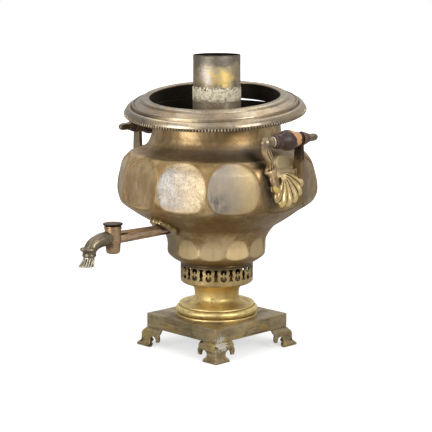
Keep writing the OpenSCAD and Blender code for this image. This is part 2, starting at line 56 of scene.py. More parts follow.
FACETS = 12
FACET_TURN = math.radians(-5)
CUP_TURN = FACET_TURN + math.pi / FACETS
CUP_TOP = 190
FACET_LOW, FACET_MIDDLE, FACET_HIGH = 205, 246.0, 290
FACET_C = (-52.2, 220.7)
FACET_ARC = 190.0
FACET_LEAN = 2.4
CUP_FLAT = 69.16
CUP_ARC_Z, CUP_ARC = 150.3, 25.0
CHIMNEY_R = 33.5
RING_Z = 361.5
RING_TILT = math.radians(7.3)
RING_LOW = math.radians(-56)
RING_SLID = 4.0
RING_IN = 92.2
RING_OUT = 128.8
PLINTH_TOP = 46.6
STEM_LOW, STEM_HIGH = 62.1, 91.7
BARREL_Y = 195.0
SHANK_Z = 182.1
NOZZLE_Y = -240.0
COLLAR_Z, NOZZLE_Z = 162.4, 150.2
GRIP_X = 140.5
GRIP_Z = 310.1
HANDLE_Y = -3.0
BARE_SPOT = (0.076, -0.064, 0.0255)
# start, end and slope of the bare band round the right grip
BARE_BAND = (1.0, 14.0, -0.45)

MATERIALS = {}
PAINT = {}

BODY_LINE = [
    (88.7, 347.3), (89.2, 336.7), (91.0, 314.0), (93.5, 304.2), (96.1, 298.2), (99.5, 293.3),
    (105.7, 288.8), (121.7, 283.4), (127.9, 278.4), (133.0, 272.5), (136.6, 264.5), (139.9, 252.6),
    (142.1, 242.6), (143.1, 230.7), (140.9, 219.7), (134.9, 211.2), (118.2, 199.2), (106.8, 192.0),
    (87.2, 180.4), (80.6, 174.6), (76.1, 168.6), (73.2, 162.5), (71.6, 156.5), (71.3, 149.5),
    (71.6, 142.4), (69.2, 136.3), (62.8, 130.3), (54.0, 125.2),
]


def clamp(x, a=0.0, b=1.0):
    return a if x < a else b if x > b else x


def ease(x, a, b):
    """Smooth step from 0 at a to 1 at b."""
    t = clamp((x - a) / (b - a))
    return t * t * (3 - 2 * t)


def bell(x, centre, width):
    return math.exp(-((x - centre) / width) ** 2)


def half_sine(angle, turn):
    """Distance round a circle from one bearing, as the sine of half the angle; bell() of it makes a soft spot."""
    return math.sin((angle - turn) / 2)


def dome(x):
    """Height of a rounded top: 1 at 0, falling to 0 at 1."""
    return math.sqrt(max(0.0, 1 - x))


def polar(t, r, z=0.0):
    return Vector((r * math.cos(t), r * math.sin(t), z))


def around(count):
    """The angles of a circle's points."""
    return [2 * math.pi * j / count for j in range(count)]


def soft_min(a, b, k):
    """The lower of two lengths, with a rounding of about k where they cross."""
    h = clamp(0.5 + 0.5 * (b - a) / k)
    return b * (1 - h) + a * h - k * h * (1 - h)


def smooth_line(points, steps):
    """Catmull-Rom curve through 2-D points, steps to each span."""
    out = []
    last = len(points) - 1
    for i in range(last):
        near = [points[clamp(i + k, 0, last)] for k in (-1, 0, 1, 2)]
        for s in range(steps):
            t = s / steps
            out.append(tuple(
                0.5 * (2 * b + (c - a) * t + (2 * a - 5 * b + 4 * c - d) * t * t + (3 * b - a - 3 * c + d) * t ** 3)
                for a, b, c, d in zip(*near)))
    return out + [tuple(points[-1])]


def even_line(points, step):
    """The same open line with a point about every step."""
    out = [points[0]]
    for a, b in zip(points, points[1:]):
        n = max(1, round(math.dist(a, b) / step))
        out += [tuple(p + (q - p) * i / n for p, q in zip(a, b)) for i in range(1, n + 1)]
    return out


# ---- mesh helpers: everything is drawn in millimetres and stored in metres


@contextmanager
def edited(mesh):
    bm = bmesh.new()
    bm.from_mesh(mesh)
    yield bm
    bm.to_mesh(mesh)
    bm.free()


def new_object(name, mesh):
    obj = bpy.data.objects.new(name, mesh)
    bpy.context.scene.collection.objects.link(obj)
    return obj


def shade(obj, sharp):
    """Smooth shading, with the edges sharper than so many degrees kept."""
    obj.data.shade_smooth()
    obj.data.set_sharp_from_angle(angle=math.radians(sharp))
    return obj


def drawn(name, verts, faces):
    mesh = bpy.data.meshes.new(name)
    mesh.from_pydata([Vector(v) * MM for v in verts], [], faces)
    return new_object(name, mesh)


def tidy_mesh(obj, sharp):
    with edited(obj.data) as bm:
        bmesh.ops.remove_doubles(bm, verts=bm.verts, dist=1e-5)
        bmesh.ops.dissolve_degenerate(bm, edges=bm.edges, dist=1e-6)
        bmesh.ops.recalc_face_normals(bm, faces=bm.faces)
    return shade(obj, sharp)


def mark(obj, label, values):
    """Stores one number for each point, which the materials read."""
    layers = obj.data.attributes
    layer = layers.get(label) or layers.new(label, "FLOAT", "POINT")
    layer.data.foreach_set("value", list(values))


def mark_wear(obj):
    """Stores how far each point stands out from (-) or lies in (+) its surroundings."""
    mesh = obj.data
    n = len(mesh.vertices)
    value = [0.0] * n
    near = [[] for _ in range(n)]
    co, normal = [v.co.copy() for v in mesh.vertices], [v.normal.copy() for v in mesh.vertices]
    for e in mesh.edges:
        a, b = e.vertices
        near[a].append(b)
        near[b].append(a)
        way = (co[b] - co[a]).normalized()
        value[a] += way.dot(normal[a])
        value[b] -= way.dot(normal[b])
    value = [v / max(1, len(k)) for v, k in zip(value, near)]
    for _ in range(2):
        value = [0.5 * v + 0.5 * sum(value[j] for j in k) / max(1, len(k)) for v, k in zip(value, near)]
    mark(obj, "wear", value)


def grid_faces(rows, cols, wrap_rows=False):
    """Faces between rows of points that each run round."""
    faces = []
    for i in range(rows if wrap_rows else rows - 1):
        a, b = i * cols, (i + 1) % rows * cols
        for j in range(cols):
            k = (j + 1) % cols
            faces.append((a + j, a + k, b + k, b + j))
    return faces


def turned(name, outline, cols=96, place=None, shape=None, sharp=40.0, closed=True):
    """A turned piece: outline of (radius, height) revolved about Z; closed outlines make a shell.

    shape(theta, r, z) may return another (r, z); place is a matrix in millimetres.
    """
    verts = []
    for r, z in outline:
        for t in around(cols):
            rr, zz = shape(t, r, z) if shape else (r, z)
            verts.append(place @ polar(t, rr, zz) if place else polar(t, rr, zz))
    faces = grid_faces(len(outline), cols, closed)
    if not closed:
        last = (len(outline) - 1) * cols
        faces += [list(range(cols))[::-1], list(range(last, last + cols))]
    return tidy_mesh(drawn(name, verts, faces), sharp)


def swept(name, path, section, ups, sharp):
    """A bar along path; section(i) gives its outline (side, up) at point i, and ups what is up there."""
    verts, n = [], len(path)
    for i, p in enumerate(path):
        ahead = (path[min(i + 1, n - 1)] - path[max(i - 1, 0)]).normalized()
        up = (ups[i] - ahead * ups[i].dot(ahead)).normalized()
        side = ahead.cross(up)
        outline = section(i)
        verts += [p + side * a + up * b for a, b in outline]
    count = len(outline)
    ends = [list(range(count))[::-1], [(n - 1) * count + j for j in range(count)]]
    return tidy_mesh(drawn(name, verts, grid_faces(n, count) + ends), sharp)


def join(name, parts, sharp):
    """Joins finished meshes into one piece."""
    bm = bmesh.new()
    for o in parts:
        old = o.data
        bm.from_mesh(old)
        bpy.data.objects.remove(o)
        bpy.data.meshes.remove(old)
    mesh = bpy.data.meshes.new(name)
    bm.to_mesh(mesh)
    bm.free()
    return shade(new_object(name, mesh), sharp)


def roughen(obj, depth, size, seed, keep=None):
    """Moves points along their normals by soft noise, in millimetres."""
    shift = Vector((seed * 17.3, seed * 5.1, seed * 9.7))
    moved = []
    for v in obj.data.vertices:
        k = keep(v.co / MM) if keep else 1.0
        d = noise.noise(v.co / (size * MM) + shift) + 0.5 * noise.noise(v.co * 2.3 / (size * MM) + shift)
        moved.append(v.co + v.normal * (d * depth * k * MM))
    for v, c in zip(obj.data.vertices, moved):
        v.co = c
    obj.data.update()


def cad_copy(name, node, bevel, segments, cut):
    """A clean, bevelled copy of a CAD node's mesh, with no edge much longer than cut."""
    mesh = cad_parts[node].data.copy()
    mesh.name = name
    mesh.materials.clear()
    obj = new_object(name, mesh)
    with edited(mesh) as bm:
        bmesh.ops.remove_doubles(bm, verts=bm.verts, dist=2e-5)
        bmesh.ops.dissolve_limit(bm, angle_limit=math.radians(4), verts=bm.verts, edges=bm.edges)
        bmesh.ops.recalc_face_normals(bm, faces=bm.faces)
    mod = obj.modifiers.new("edges", "BEVEL")
    mod.width = bevel * MM
    mod.segments = segments
    mod.limit_method = "ANGLE"
    mod.angle_limit = math.radians(30)
    bake_modifiers(obj)
    with edited(obj.data) as bm:
        bmesh.ops.triangulate(bm, faces=bm.faces)
        for _ in range(3):
            long_edges = [e for e in bm.edges if e.calc_length() > cut * MM]
            if not long_edges:
                break
            bmesh.ops.subdivide_edges(bm, edges=long_edges, cuts=1, use_grid_fill=False)
            bmesh.ops.triangulate(bm, faces=[f for f in bm.faces if len(f.verts) > 3])
    return shade(obj, 38)


def bake_modifiers(obj):
    """Turns what the modifiers make into a plain mesh and removes them."""
    deps = bpy.context.evaluated_depsgraph_get()
    mesh = bpy.data.meshes.new_from_object(obj.evaluated_get(deps), depsgraph=deps)
    obj.modifiers.clear()
    old = obj.data
    obj.data = mesh
    mesh.name = obj.name
    if old.users == 0:
        bpy.data.meshes.remove(old)


def settle(obj, body, slot, material, *nodes):
    """The last step of every piece: wear marks, material, body and the nodes it stands for; the slot argument is not
    used.
    """
    if not obj.data.polygons:
        raise RuntimeError(obj.name + " has no faces")
    mark_wear(obj)
    obj.data.materials.clear()
    obj.data.materials.append(MATERIALS[material])
    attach(obj, body)
    if nodes:
        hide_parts(*nodes)


# ---- the body's surface


def facet_angle(theta, turn):
    """Angle from the middle of the nearest facet, and that facet's number."""
    step = 2 * math.pi / FACETS
    k = round((theta - turn) / step)
    return theta - turn - k * step, k % FACETS


def facet_flat(z):
    """Distance of a belly facet's middle line from the axis, without its lean at the top."""
    return FACET_C[0] + math.sqrt(max(0, FACET_ARC ** 2 - (z - FACET_C[1]) ** 2))


def line_radius(z):
    """Radius of the body's outline at a height."""
    for (r1, z1), (r2, z2) in zip(BODY_LINE, BODY_LINE[1:]):
        if z2 <= z <= z1:
            return r2 + (r1 - r2) * (z - z2) / (z1 - z2)
    return BODY_LINE[0][0] if z > FACET_HIGH else BODY_LINE[-1][0]


def body_radius(theta, r, z, softness=1.3):
    """Radius of the body's outside, with its facets, and how far inside a facet the point lies."""
    if FACET_LOW < z < FACET_HIGH:
        a, _ = facet_angle(theta, FACET_TURN)
        flat = (facet_flat(z) - FACET_LEAN * ease(z, 264, 279)) / math.cos(a)
        # the facet's outline is a rounded oblong, squarer below
        half, power = (34.0, 2.0) if z > FACET_MIDDLE else (37.5, 2.15)
        across = abs(flat * math.sin(a)) / 34.5
        up = abs((z - FACET_MIDDLE) / half)
        outside = (across ** power + up ** power) ** (1 / power) - 1
        flat += 44 * max(0.0, outside)
        return soft_min(r, flat, softness), min(r - flat, -outside * 22)
    if z < 176:
        a, _ = facet_angle(theta, CUP_TURN)
        flat = CUP_FLAT
        if z > CUP_ARC_Z:
            flat += CUP_ARC - math.sqrt(max(0.0, CUP_ARC ** 2 - (z - CUP_ARC_Z) ** 2))
        flat /= math.cos(a)
        return soft_min(r, flat, softness * 0.8), r - flat
    return r, 0.0


# ---- shader helpers


class Wire:
    """A node's output with which Python can calculate: each + - * adds one Math node."""

    def __init__(self, socket):
        self.socket = socket

    def __add__(self, other):
        return calc("ADD", self, other)

    def __sub__(self, other):
        return calc("SUBTRACT", self, other)

    def __rsub__(self, other):
        return calc("SUBTRACT", other, self)

    def __mul__(self, other):
        return calc("MULTIPLY", self, other)

    __radd__ = __add__
    __rmul__ = __mul__


def add(tree, kind, values=None, out=0, **settings):
    """A new node: its settings, then its inputs as {label or number: value}. Returns the output asked for."""
    n = tree.nodes.new(kind)
    n.location = 200 * (len(tree.nodes) % 14), -220 * (len(tree.nodes) // 14)
    for key, value in settings.items():
        setattr(n, key, value)
    for key, value in (values or {}).items():
        if isinstance(value, Wire):
            tree.links.new(value.socket, n.inputs[key])
        else:
            n.inputs[key].default_value = value
    return Wire(n.outputs[out]) if len(n.outputs) else None


def made(kind, values, out=0, **settings):
    """The same, in the tree of the first wire among the values."""
    tree = next(v for v in values.values() if isinstance(v, Wire)).socket.id_data
    return add(tree, kind, values, out, **settings)


def calc(op, *values):
    return made("ShaderNodeMath", dict(enumerate(values)), operation=op)


def vector(op, *values, out=0):
    return made("ShaderNodeVectorMath", dict(enumerate(values)), out, operation=op)


def larger(a, b):
    return calc("MAXIMUM", a, b)


def limited(wire):
    """Keeps the sum that was just made between 0 and 1."""
    wire.socket.node.use_clamp = True
    return wire


def span(value, low, high, out_low=0.0, out_high=1.0):
    """Goes smoothly from out_low to out_high as the value goes from low to high."""
    return made("ShaderNodeMapRange", dict(enumerate((value, low, high, out_low, out_high))),
                interpolation_type="SMOOTHSTEP")


def mix(factor, a, b, blend="MIX"):
    return made("ShaderNodeMix", {0: factor, 6: a, 7: b}, 2, data_type="RGBA", blend_type=blend)


def coat(color, name, factor):
    """Lays one of the finishes' colours over a colour."""
    return mix(factor, color, PAINT[name])


def grey(value):
    return value, value, value, 1.0


def scaled(color, factor, most=2):
    """A colour times a factor between 0 and most."""
    return mix(1.0, color, mix(factor * (1 / most) if most != 1 else factor, grey(0), grey(most)), "MULTIPLY")


def cloud(coord, scale, detail=4.0, rough=0.55, twist=0.0):
    return made("ShaderNodeTexNoise", {"Vector": coord, "Scale": scale, "Detail": detail, "Roughness": rough,
                                       "Distortion": twist}, "Fac")


def stretch(coord, scale, offset=(0, 0, 0), turn=(0, 0, 0)):
    return made("ShaderNodeMapping", {"Vector": coord, "Scale": scale, "Location": offset, "Rotation": turn})


def streaks(coord, scale, detail=4, rough=0.6, offset=(0, 0, 0)):
    """Noise with its own scale along each axis."""
    return cloud(stretch(coord, scale, offset), 1.0, detail, rough)


def wander(coord, scale, reach, detail=4, rough=0.6):
    """A soft random shift of up to reach, which makes a straight border ragged."""
    return span(cloud(coord, scale, detail, rough), 0.3, 0.7, -reach, reach)


def attribute(tree, name):
    return add(tree, "ShaderNodeAttribute", out="Fac", attribute_name=name)


def part(position, axis):
    return made("ShaderNodeSeparateXYZ", {0: position}, axis)


def height_of(position):
    """Height above the resting plane, in millimetres."""
    return part(position, "Z") * 1000.0


def toward(position, turn, inner, outer, value=1.0):
    """A soft patch round one bearing from the upright axis, in degrees."""
    turn, inner, outer = math.radians(turn), math.radians(inner), math.radians(outer)
    along = vector("DOT_PRODUCT", vector("NORMALIZE", stretch(position, (1, 1, 0))),
                   (math.cos(turn), math.sin(turn), 0), out="Value")
    return span(along, math.cos(outer), math.cos(inner), 0, value)


KINDS = {int: "Int", float: "Float", 3: "Vector", 4: "Color"}


def empty_tree(block):
    """The node tree of a new material or world, with nothing in it."""
    block.use_nodes = True
    block.node_tree.nodes.clear()
    return block.node_tree


def new_tree(kind, name, inputs, outputs):
    """A node group and its inputs. A default gives an input's kind, or a word does where there is none."""
    tree = bpy.data.node_groups.new(name, kind + "NodeTree")
    for label, default in inputs.items():
        bare = isinstance(default, str)
        word = default if bare else KINDS[len(default) if isinstance(default, tuple) else type(default)]
        socket = tree.interface.new_socket(label, in_out="INPUT", socket_type="NodeSocket" + word)
        if not bare:
            socket.default_value = default
    for label, word in outputs.items():
        tree.interface.new_socket(label, in_out="OUTPUT", socket_type="NodeSocket" + word)
    return tree, {s.name: Wire(s) for s in tree.nodes.new("NodeGroupInput").outputs if s.name}


def spaced(values):
    """Keywords as input labels: an underscore stands for a space."""
    return {key.replace("_", " "): value for key, value in values.items()}


def use_group(name, **values):
    """The outputs of a group node, by name."""
    n = made("ShaderNodeGroup", spaced(values), node_tree=bpy.data.node_groups[name]).socket.node
    return {s.name: Wire(s) for s in n.outputs}


def patina_group():
    """Old brass: metal, tarnish clouds, dark stains, pin-head specks and wear on edges."""
    t, i = new_tree("Shader", "Patina", {
        "Position": "Vector", "Metal": (0.6, 0.45, 0.22, 1), "Tarnish": (0.3, 0.22, 0.1, 1),
        "Stain": (0.1, 0.07, 0.04, 1), "Cloud size": 28.0, "Tarnished": 0.5, "Stained": 0.3, "Specks": 0.3,
        "Wear": 0.0, "Seed": 0.0, "Polish": 0.3, "Dullness": 0.5},
        {"Color": "Color", "Roughness": "Float", "Height": "Float"})
    size, wear, stain_color = i["Cloud size"], i["Wear"], i["Stain"]
    p = vector("ADD", i["Position"], i["Seed"])
    big = cloud(p, size, 6, 0.62, 0.4)
    mid = cloud(p, size * 4.3, 5, 0.65)
    fine = cloud(p, size * 26.0, 3, 0.7)
    low = 0.66 - i["Tarnished"] * 0.3
    veil = span(big * 0.7 + mid * 0.3 + wear * 1.6, low - 0.07, low + 0.09)
    tone = span(mid, 0.34, 0.66, -0.24, 0.18) + span(fine, 0.3, 0.7, 0.86, 1.1)
    color = scaled(mix(veil, i["Metal"], i["Tarnish"]), tone, 1)
    low = 0.74 - i["Stained"] * 0.36
    stain = span(mid * 0.6 + fine * 0.4 + wear * 2.6, low - 0.06, low + 0.08)
    low = 0.76 - i["Specks"] * 0.24
    speck = span(fine, low, low + 0.06)
    color = mix(speck * 0.75, mix(stain, color, stain_color), stain_color)
    rough = i["Polish"] + veil * (i["Dullness"] - i["Polish"]) + stain * 0.25
    add(t, "NodeGroupOutput", {
        "Color": color, "Roughness": limited(rough + span(fine, 0.3, 0.7, -0.05, 0.07)),
        "Height": mid * 0.6 + fine * 0.25 - speck * 0.3})


def scratch_group():
    """Fine scratches: long thin lines in three directions, and the rings that polishing leaves."""
    t, i = new_tree("Shader", "Scratches", {"Position": "Vector", "Density": 0.4, "Rings": 0.3},
                    {"Mask": "Float", "Height": "Float"})
    low = 0.78 - i["Density"] * 0.14
    total = None
    for scale, turn in (((9, 9, 900), 0.3), ((700, 14, 60), 1.2), ((12, 800, 90), 2.2)):
        along = stretch(i["Position"], scale, turn=(turn * 0.4, turn * 0.25, turn))
        line = span(cloud(along, 1.0, 2, 0.5), low, low + 0.08)
        total = larger(total, line) if total else line
    rings = streaks(i["Position"], (6, 6, 1300), 2) * i["Rings"]
    add(t, "NodeGroupOutput", {"Mask": total, "Height": rings - total * 0.6})


# ---- finishes: each look takes the tree, the position and what is under it, and gives colour, roughness, height


def body_look(t, position, color, rough, height):
    """Facet tones, painted shade on the shoulder, lower belly and cup bottom, painted light and shade by bearing,
    painted shadows under the ring and beside the leaves, water runs and the bluish patch on one facet.
    """
    z = height_of(position)
    facet, tone, rim = attribute(t, "facet"), attribute(t, "tone"), attribute(t, "rim")
    mid, fine, finer = (cloud(position, *k) for k in ((95, 5, 0.68), (340, 4, 0.8), (620, 3, 0.8)))
    # painted shade below the shoulder and under the belly
    shoulder = span(z, 300, 292) * span(z, 262, 284)
    under = span(z, 214, 203) * span(z, 170, 186)
    shaded = larger(shoulder * 0.5, under * 0.85)
    color = coat(color, "shade", shaded * span(mid, 0.3, 0.7, 0.75, 1.0))
    # facets: worn bright, mottled, with a line of painted shade round them
    mottled = span(finer * 0.45 + (fine * 0.3 + mid * 0.25), 0.485, 0.56)
    worn = mix(tone, PAINT["facet_dim"], mix(attribute(t, "warm"), PAINT["facet"], PAINT["facet_warm"]))
    rubbed = span(tone, 0.6, 1.0, 0.12, 0.6) * span(z, 195, 215, 0.2, 1.0)
    color = coat(color, "shade", rim * 0.85)
    color = mix(facet * 0.9, color, coat(worn, "facet_spot", mottled * rubbed))
    color = coat(color, "blue", attribute(t, "blue") * span(mid, 0.35, 0.6))
    rough = limited(limited(rough + rim * 0.3 + facet * 0.1) + shaded * 0.08)
    height = height + facet * mottled * 0.35
    # darker and lighter blotches, then streaks from brushing
    blotch = streaks(position, (26, 26, 15), 5, 0.62)
    plain = facet * -0.8 + 1.0
    color = coat(color, "shade", span(blotch, 0.5, 0.66, 0, 0.55) * plain)
    color = coat(color, "brushed", span(blotch, 0.47, 0.34, 0, 0.4) * plain)
    brushed = streaks(position, (110, 110, 12), 4, 0.72)
    color = coat(color, "shade", span(brushed, 0.5, 0.72, 0, facet * -0.28 + 0.55))
    color = coat(color, "brushed", span(brushed, 0.46, 0.28, 0, 0.35))
    color = coat(color, "dusty", attribute(t, "dusty") * span(mid, 0.3, 0.65, 0.35, 0.85))
    # painted light and shade by bearing
    color = scaled(color, attribute(t, "tint"))
    # painted shade toward the cup's bottom, between the facets
    color = coat(color, "shade", span(z, 150, 134, 0, 0.75) * (1.0 - facet))
    # painted shadow under the ring, and old water runs below it
    ragged = z + span(streaks(position, (70, 70, 20), 4, 0.65), 0.3, 0.7, -7, 7)
    color = coat(color, "run", span(ragged, 321, 333, 0, 0.6))
    runs = span(streaks(position, (60, 60, 7), 3), 0.56, 0.68)
    color = coat(color, "run", runs * span(z, 262, 330) * 0.5)
    # painted shadow of the arm beside each leaf
    color = coat(color, "grime", attribute(t, "grime") * span(mid, 0.3, 0.6, 0.55, 0.95))
    return blackened(t, mid, color, rough, 0.8) + (height,)


def blackened(t, noise_in, color, rough, dull):
    """Near-black where the point is marked as inside: painted shade in the hollow."""
    inside = attribute(t, "inside")
    color = mix(inside, color, mix(noise_in, PAINT["inside_dark"], PAINT["inside_light"]))
    return color, larger(rough, inside * dull)


def chimney_look(t, position, color, rough, height):
    """Sooty mouth, a mottled middle with a painted yellow highlight and a painted silvery highlight, painted shade
    on the left side, and greyer foot.
    """
    z = height_of(position)
    mid = cloud(position, 120, 5, 0.7)
    ragged = z + wander(position, 45, 9)
    yellow = attribute(t, "yellow") * 1.2 + span(mid, 0.3, 0.7, -0.45, 0.3)
    color = coat(color, "yellow", span(yellow, -0.1, 1.0, 0, 0.9))
    silver = attribute(t, "silver") + span(mid, 0.3, 0.7, 0.4, -0.5)
    color = coat(color, "silver", span(silver, 0.1, 0.9, 0, 0.8))
    # painted shade on the left side
    color = coat(color, "chimney_brown", toward(position, -128, 14, 52, 0.6))
    color = coat(color, "chimney_dark", span(streaks(position, (14, 14, 260), 4, 0.7), 0.5, 0.66, 0, 0.55))
    color = coat(color, "chimney_dark", span(ragged, 380, 374) * span(mid, 0.35, 0.6) * 0.7)
    color = coat(color, "soot", span(ragged, 402, 412) * span(mid, 0.25, 0.55, 0.55, 0.95))
    color = coat(color, "rim", span(z, 416.5, 418.5) * 0.75)
    inside = attribute(t, "inside")
    return coat(color, "flue", inside), larger(rough, inside * 0.85), height


def arm_look(t, position, color, rough, height):
    """On the shaded copy of the flat arm's finish: lighter, browner metal toward the foot of the arm."""
    z = height_of(position) + wander(position, 150, 5)
    return coat(color, "arm_foot", span(z, 290, 276, 0, 0.9)), rough, height


def gallery_look(t, position, color, rough, height):
    """Painted shade under the cup, and sooty on the inner wall."""
    z = height_of(position)
    color = coat(color, "gold_shade", span(z, 114.5, 119.0, 0, 0.95))
    radius = vector("LENGTH", stretch(position, (1, 1, 0)), out="Value")
    soot = span(radius, 0.0512, 0.0502) * span(z, 96.0, 97.5) * span(z, 124.5, 123.5)
    return coat(color, "soot_black", soot * 0.96), larger(rough, soot * 0.85), height


def ball_look(t, position, color, rough, height):
    """A duller ball over a brighter arm, and a brown sheath with a golden tip below."""
    z = height_of(position)
    ragged = z + wander(position, 180, 3, 3)
    color = coat(color, "arm_foot", span(ragged, 266, 261) * span(ragged, 247, 250) * 0.75)
    color = coat(color, "leaf_tip", span(ragged, 249, 246, 0, 0.8))
    return coat(color, "ball", span(z, 297, 304, 0, 0.85)), rough, height


def leaf_look(t, position, color, rough, height):
    """Brown with painted shadow on the side under the curved arm, rubbed golden on the lobes' ends."""
    y = part(position, "Y") * calc("SIGN", part(position, "X")) + wander(position, 170, 0.004, 3)
    # painted shadow of the curved arm on the leaf's side
    brown = span(y, -0.011, -0.022) * span(height_of(position), 222, 236)
    color = coat(color, "leaf_tarnish", brown * 0.8)
    color = coat(color, "leaf_tip", attribute(t, "tip") * 0.6)
    boss = attribute(t, "boss")
    color = coat(color, "boss", boss * 0.85)
    color = coat(color, "leaf_stain", span(attribute(t, "wear"), 0.02, 0.14, 0, 0.6) * (1.0 - boss))
    return color, larger(rough, boss * 0.52), height


def stem_look(t, position, color, rough, height):
    """Painted shade: redder and duller under the gallery, and darker on the right side."""
    z = height_of(position)
    high = span(z + span(streaks(position, (30, 30, 50)), 0.3, 0.7, -7, 7), 70, 86)
    color = coat(color, "stem_shade", high * 0.75)
    color = coat(color, "stem_side_shade", toward(position, 2, 12, 42, 0.6) * span(z, 58, 66))
    return color, rough + high * 0.06, height


def base_look(t, position, color, rough, height):
    """Lighter streaks, golden patches, rubbed edges, painted light and shade on the faces and one bare whitish spot
    on the near foot.
    """
    mid, fine = cloud(position, 38, 5, 0.68, 0.4), cloud(position, 260, 4, 0.7)
    gold = streaks(position, (22, 22, 60), offset=(0.31, 0.2, 0.0))
    color = coat(color, "base_gold", span(gold, 0.5, 0.66) * 0.9)
    dark = streaks(position, (34, 34, 300), 4, 0.7, (0.0, 0.3, 0.1))
    color = coat(color, "base_stain", span(dark, 0.54, 0.68, 0, 0.6))
    color = coat(color, "base_rust", span(mid, 0.57, 0.7) * span(fine, 0.35, 0.6) * 0.75)
    color = coat(color, "base_pale", span(streaks(position, (30, 30, 420), 4, 0.7), 0.55, 0.66, 0, 0.7))
    color = coat(color, "base_pale", span(attribute(t, "wear"), -0.05, -0.2, 0, 0.5))
    # painted light and shade: lighter toward the camera's right, darker toward its left
    color = scaled(color, 1.0 + toward(position, -18, 10, 34, 0.24) - toward(position, -86, 10, 36, 0.22))
    away = vector("DISTANCE", position, BARE_SPOT, out="Value")
    bare = span(away, 0.006, 0.016, 1, 0) + span(fine, 0.36, 0.62, -0.8, 0.15)
    return coat(color, "bare", span(bare, 0.15, 0.6, 0, 0.6)), rough, height


def ring_look(t, position, color, rough, height):
    """Grey plating worn through to brass on the high places, painted highlights in front and painted shade toward
    the left; black inside the collar as painted shade.
    """
    mid = cloud(position, 60, 5, 0.65, 0.5)
    brass = larger(span(mid, 0.44, 0.6), span(attribute(t, "wear"), -0.04, -0.12))
    color = coat(color, "ring_brass", brass * 0.55)
    z = height_of(position)
    # painted highlights at two bearings in front, painted shade further left
    lit = (toward(position, -24, 6, 30, 0.4) * span(z, 339, 344) + 1.0
           + toward(position, -74, 8, 24, 0.45) * span(z, 342, 337) - toward(position, -118, 12, 40, 0.32))
    return blackened(t, mid, scaled(color, lit), rough, 0.75) + (height,)


def finish(name, look, strength, depth, **values):
    """A material: look gives its colour, roughness and bump height, and values are further inputs."""
    mat = bpy.data.materials.new(name)
    t = empty_tree(mat)
    color, rough, height = look(t, add(t, "ShaderNodeTexCoord", out="Object"))
    bump = add(t, "ShaderNodeBump", {"Strength": strength, "Distance": depth, "Height": height})
    shader = add(t, "ShaderNodeBsdfPrincipled", {
        "Base Color": color, "Roughness": rough, "Normal": bump, **spaced(values)})
    add(t, "ShaderNodeOutputMaterial", {0: shader})
    return mat


def brass_material(name, metal, tarnish, stain, seed, size, tarnished, stained, specks, polish, dull, scratches,
                   rings, bump, metallic, extra=None):
    """One brass finish, from the shared patina and scratch groups, with what one piece has besides."""

    def look(t, position):
        p = use_group("Patina", Position=position, Metal=PAINT[metal], Tarnish=PAINT[tarnish], Stain=PAINT[stain],
                      Cloud_size=size, Tarnished=tarnished, Stained=stained, Specks=specks,
                      Wear=attribute(t, "wear"), Seed=seed, Polish=polish, Dullness=dull)
        s = use_group("Scratches", Position=position, Density=scratches, Rings=rings)
        color = coat(p["Color"], metal, s["Mask"] * 0.35)
        rough = limited(p["Roughness"] + s["Mask"] * 0.12)
        height = p["Height"] + s["Height"] * 0.5
        return extra(t, position, color, rough, height) if extra else (color, rough, height)

    return finish(name, look, bump, 0.0006, Metallic=metallic)


def wood_material(name, band=None):
    """Dark turned wood with a shellac shine, worn to orange in one slanting band (start, end, slope)."""

    def look(t, position):
        grain = cloud(stretch(position, (260, 30, 260)), 1.0, 5, 0.65, 0.6)
        patch = cloud(position, 70, 4, 0.6)
        color = mix(span(grain, 0.35, 0.65), PAINT["wood"], PAINT["wood_light"])
        color = coat(color, "wood_dust", span(patch, 0.5, 0.68, 0, 0.5))
        color = coat(color, "wood_worn", span(attribute(t, "wear"), -0.03, -0.16, 0, 0.55))
        if band:
            start, end, slope = band
            along = part(position, "Y") * 1000.0 + wander(position, 160, 1.5, 3)
            left = along - ((height_of(position) - GRIP_Z) * slope + start)
            mask = span(left, -0.6, 0.8) * span(end - along, -0.5, 0.7)
            color = coat(color, "wood_orange", mask * span(grain, 0.2, 0.42, 0.6, 1.0))
        return color, span(patch, 0.3, 0.7, 0.28, 0.5), grain + patch * 0.6

    return finish(name, look, 0.35, 0.0005, Coat_Weight=0.12, Coat_Roughness=0.3, Specular_IOR_Level=0.35)


def crust_look(t, position):
    """Pale crusty tin solder with dark pits."""
    lump, pit = cloud(position, 130, 5, 0.7, 0.3), cloud(position, 330, 4, 0.65)
    color = mix(span(lump, 0.3, 0.55), PAINT["crust_dark"], PAINT["crust"])
    # it thins out into stained metal below, and breaks into pits along its upper edge
    z = height_of(position)
    ragged = z + wander(position, 60, 5, 4, 0.65)
    color = mix(span(ragged, 364, 356, 0, 0.92), color, mix(lump, PAINT["crust_pit"], PAINT["chimney_metal"]))
    low = 0.61 - span(z, 368, 374) * 0.14
    color = coat(color, "crust_pit", span(pit, low, low + 0.07) * 0.9)
    return color, span(pit, 0.3, 0.7, 0.5, 0.8), lump - pit * 0.5


def iron_look(t, position):
    """Sooty iron."""
    soot = cloud(position, 90, 5, 0.7)
    color = mix(span(soot, 0.35, 0.7), PAINT["iron"], PAINT["iron_rust"])
    return color, span(soot, 0.3, 0.7, 0.6, 0.9), soot


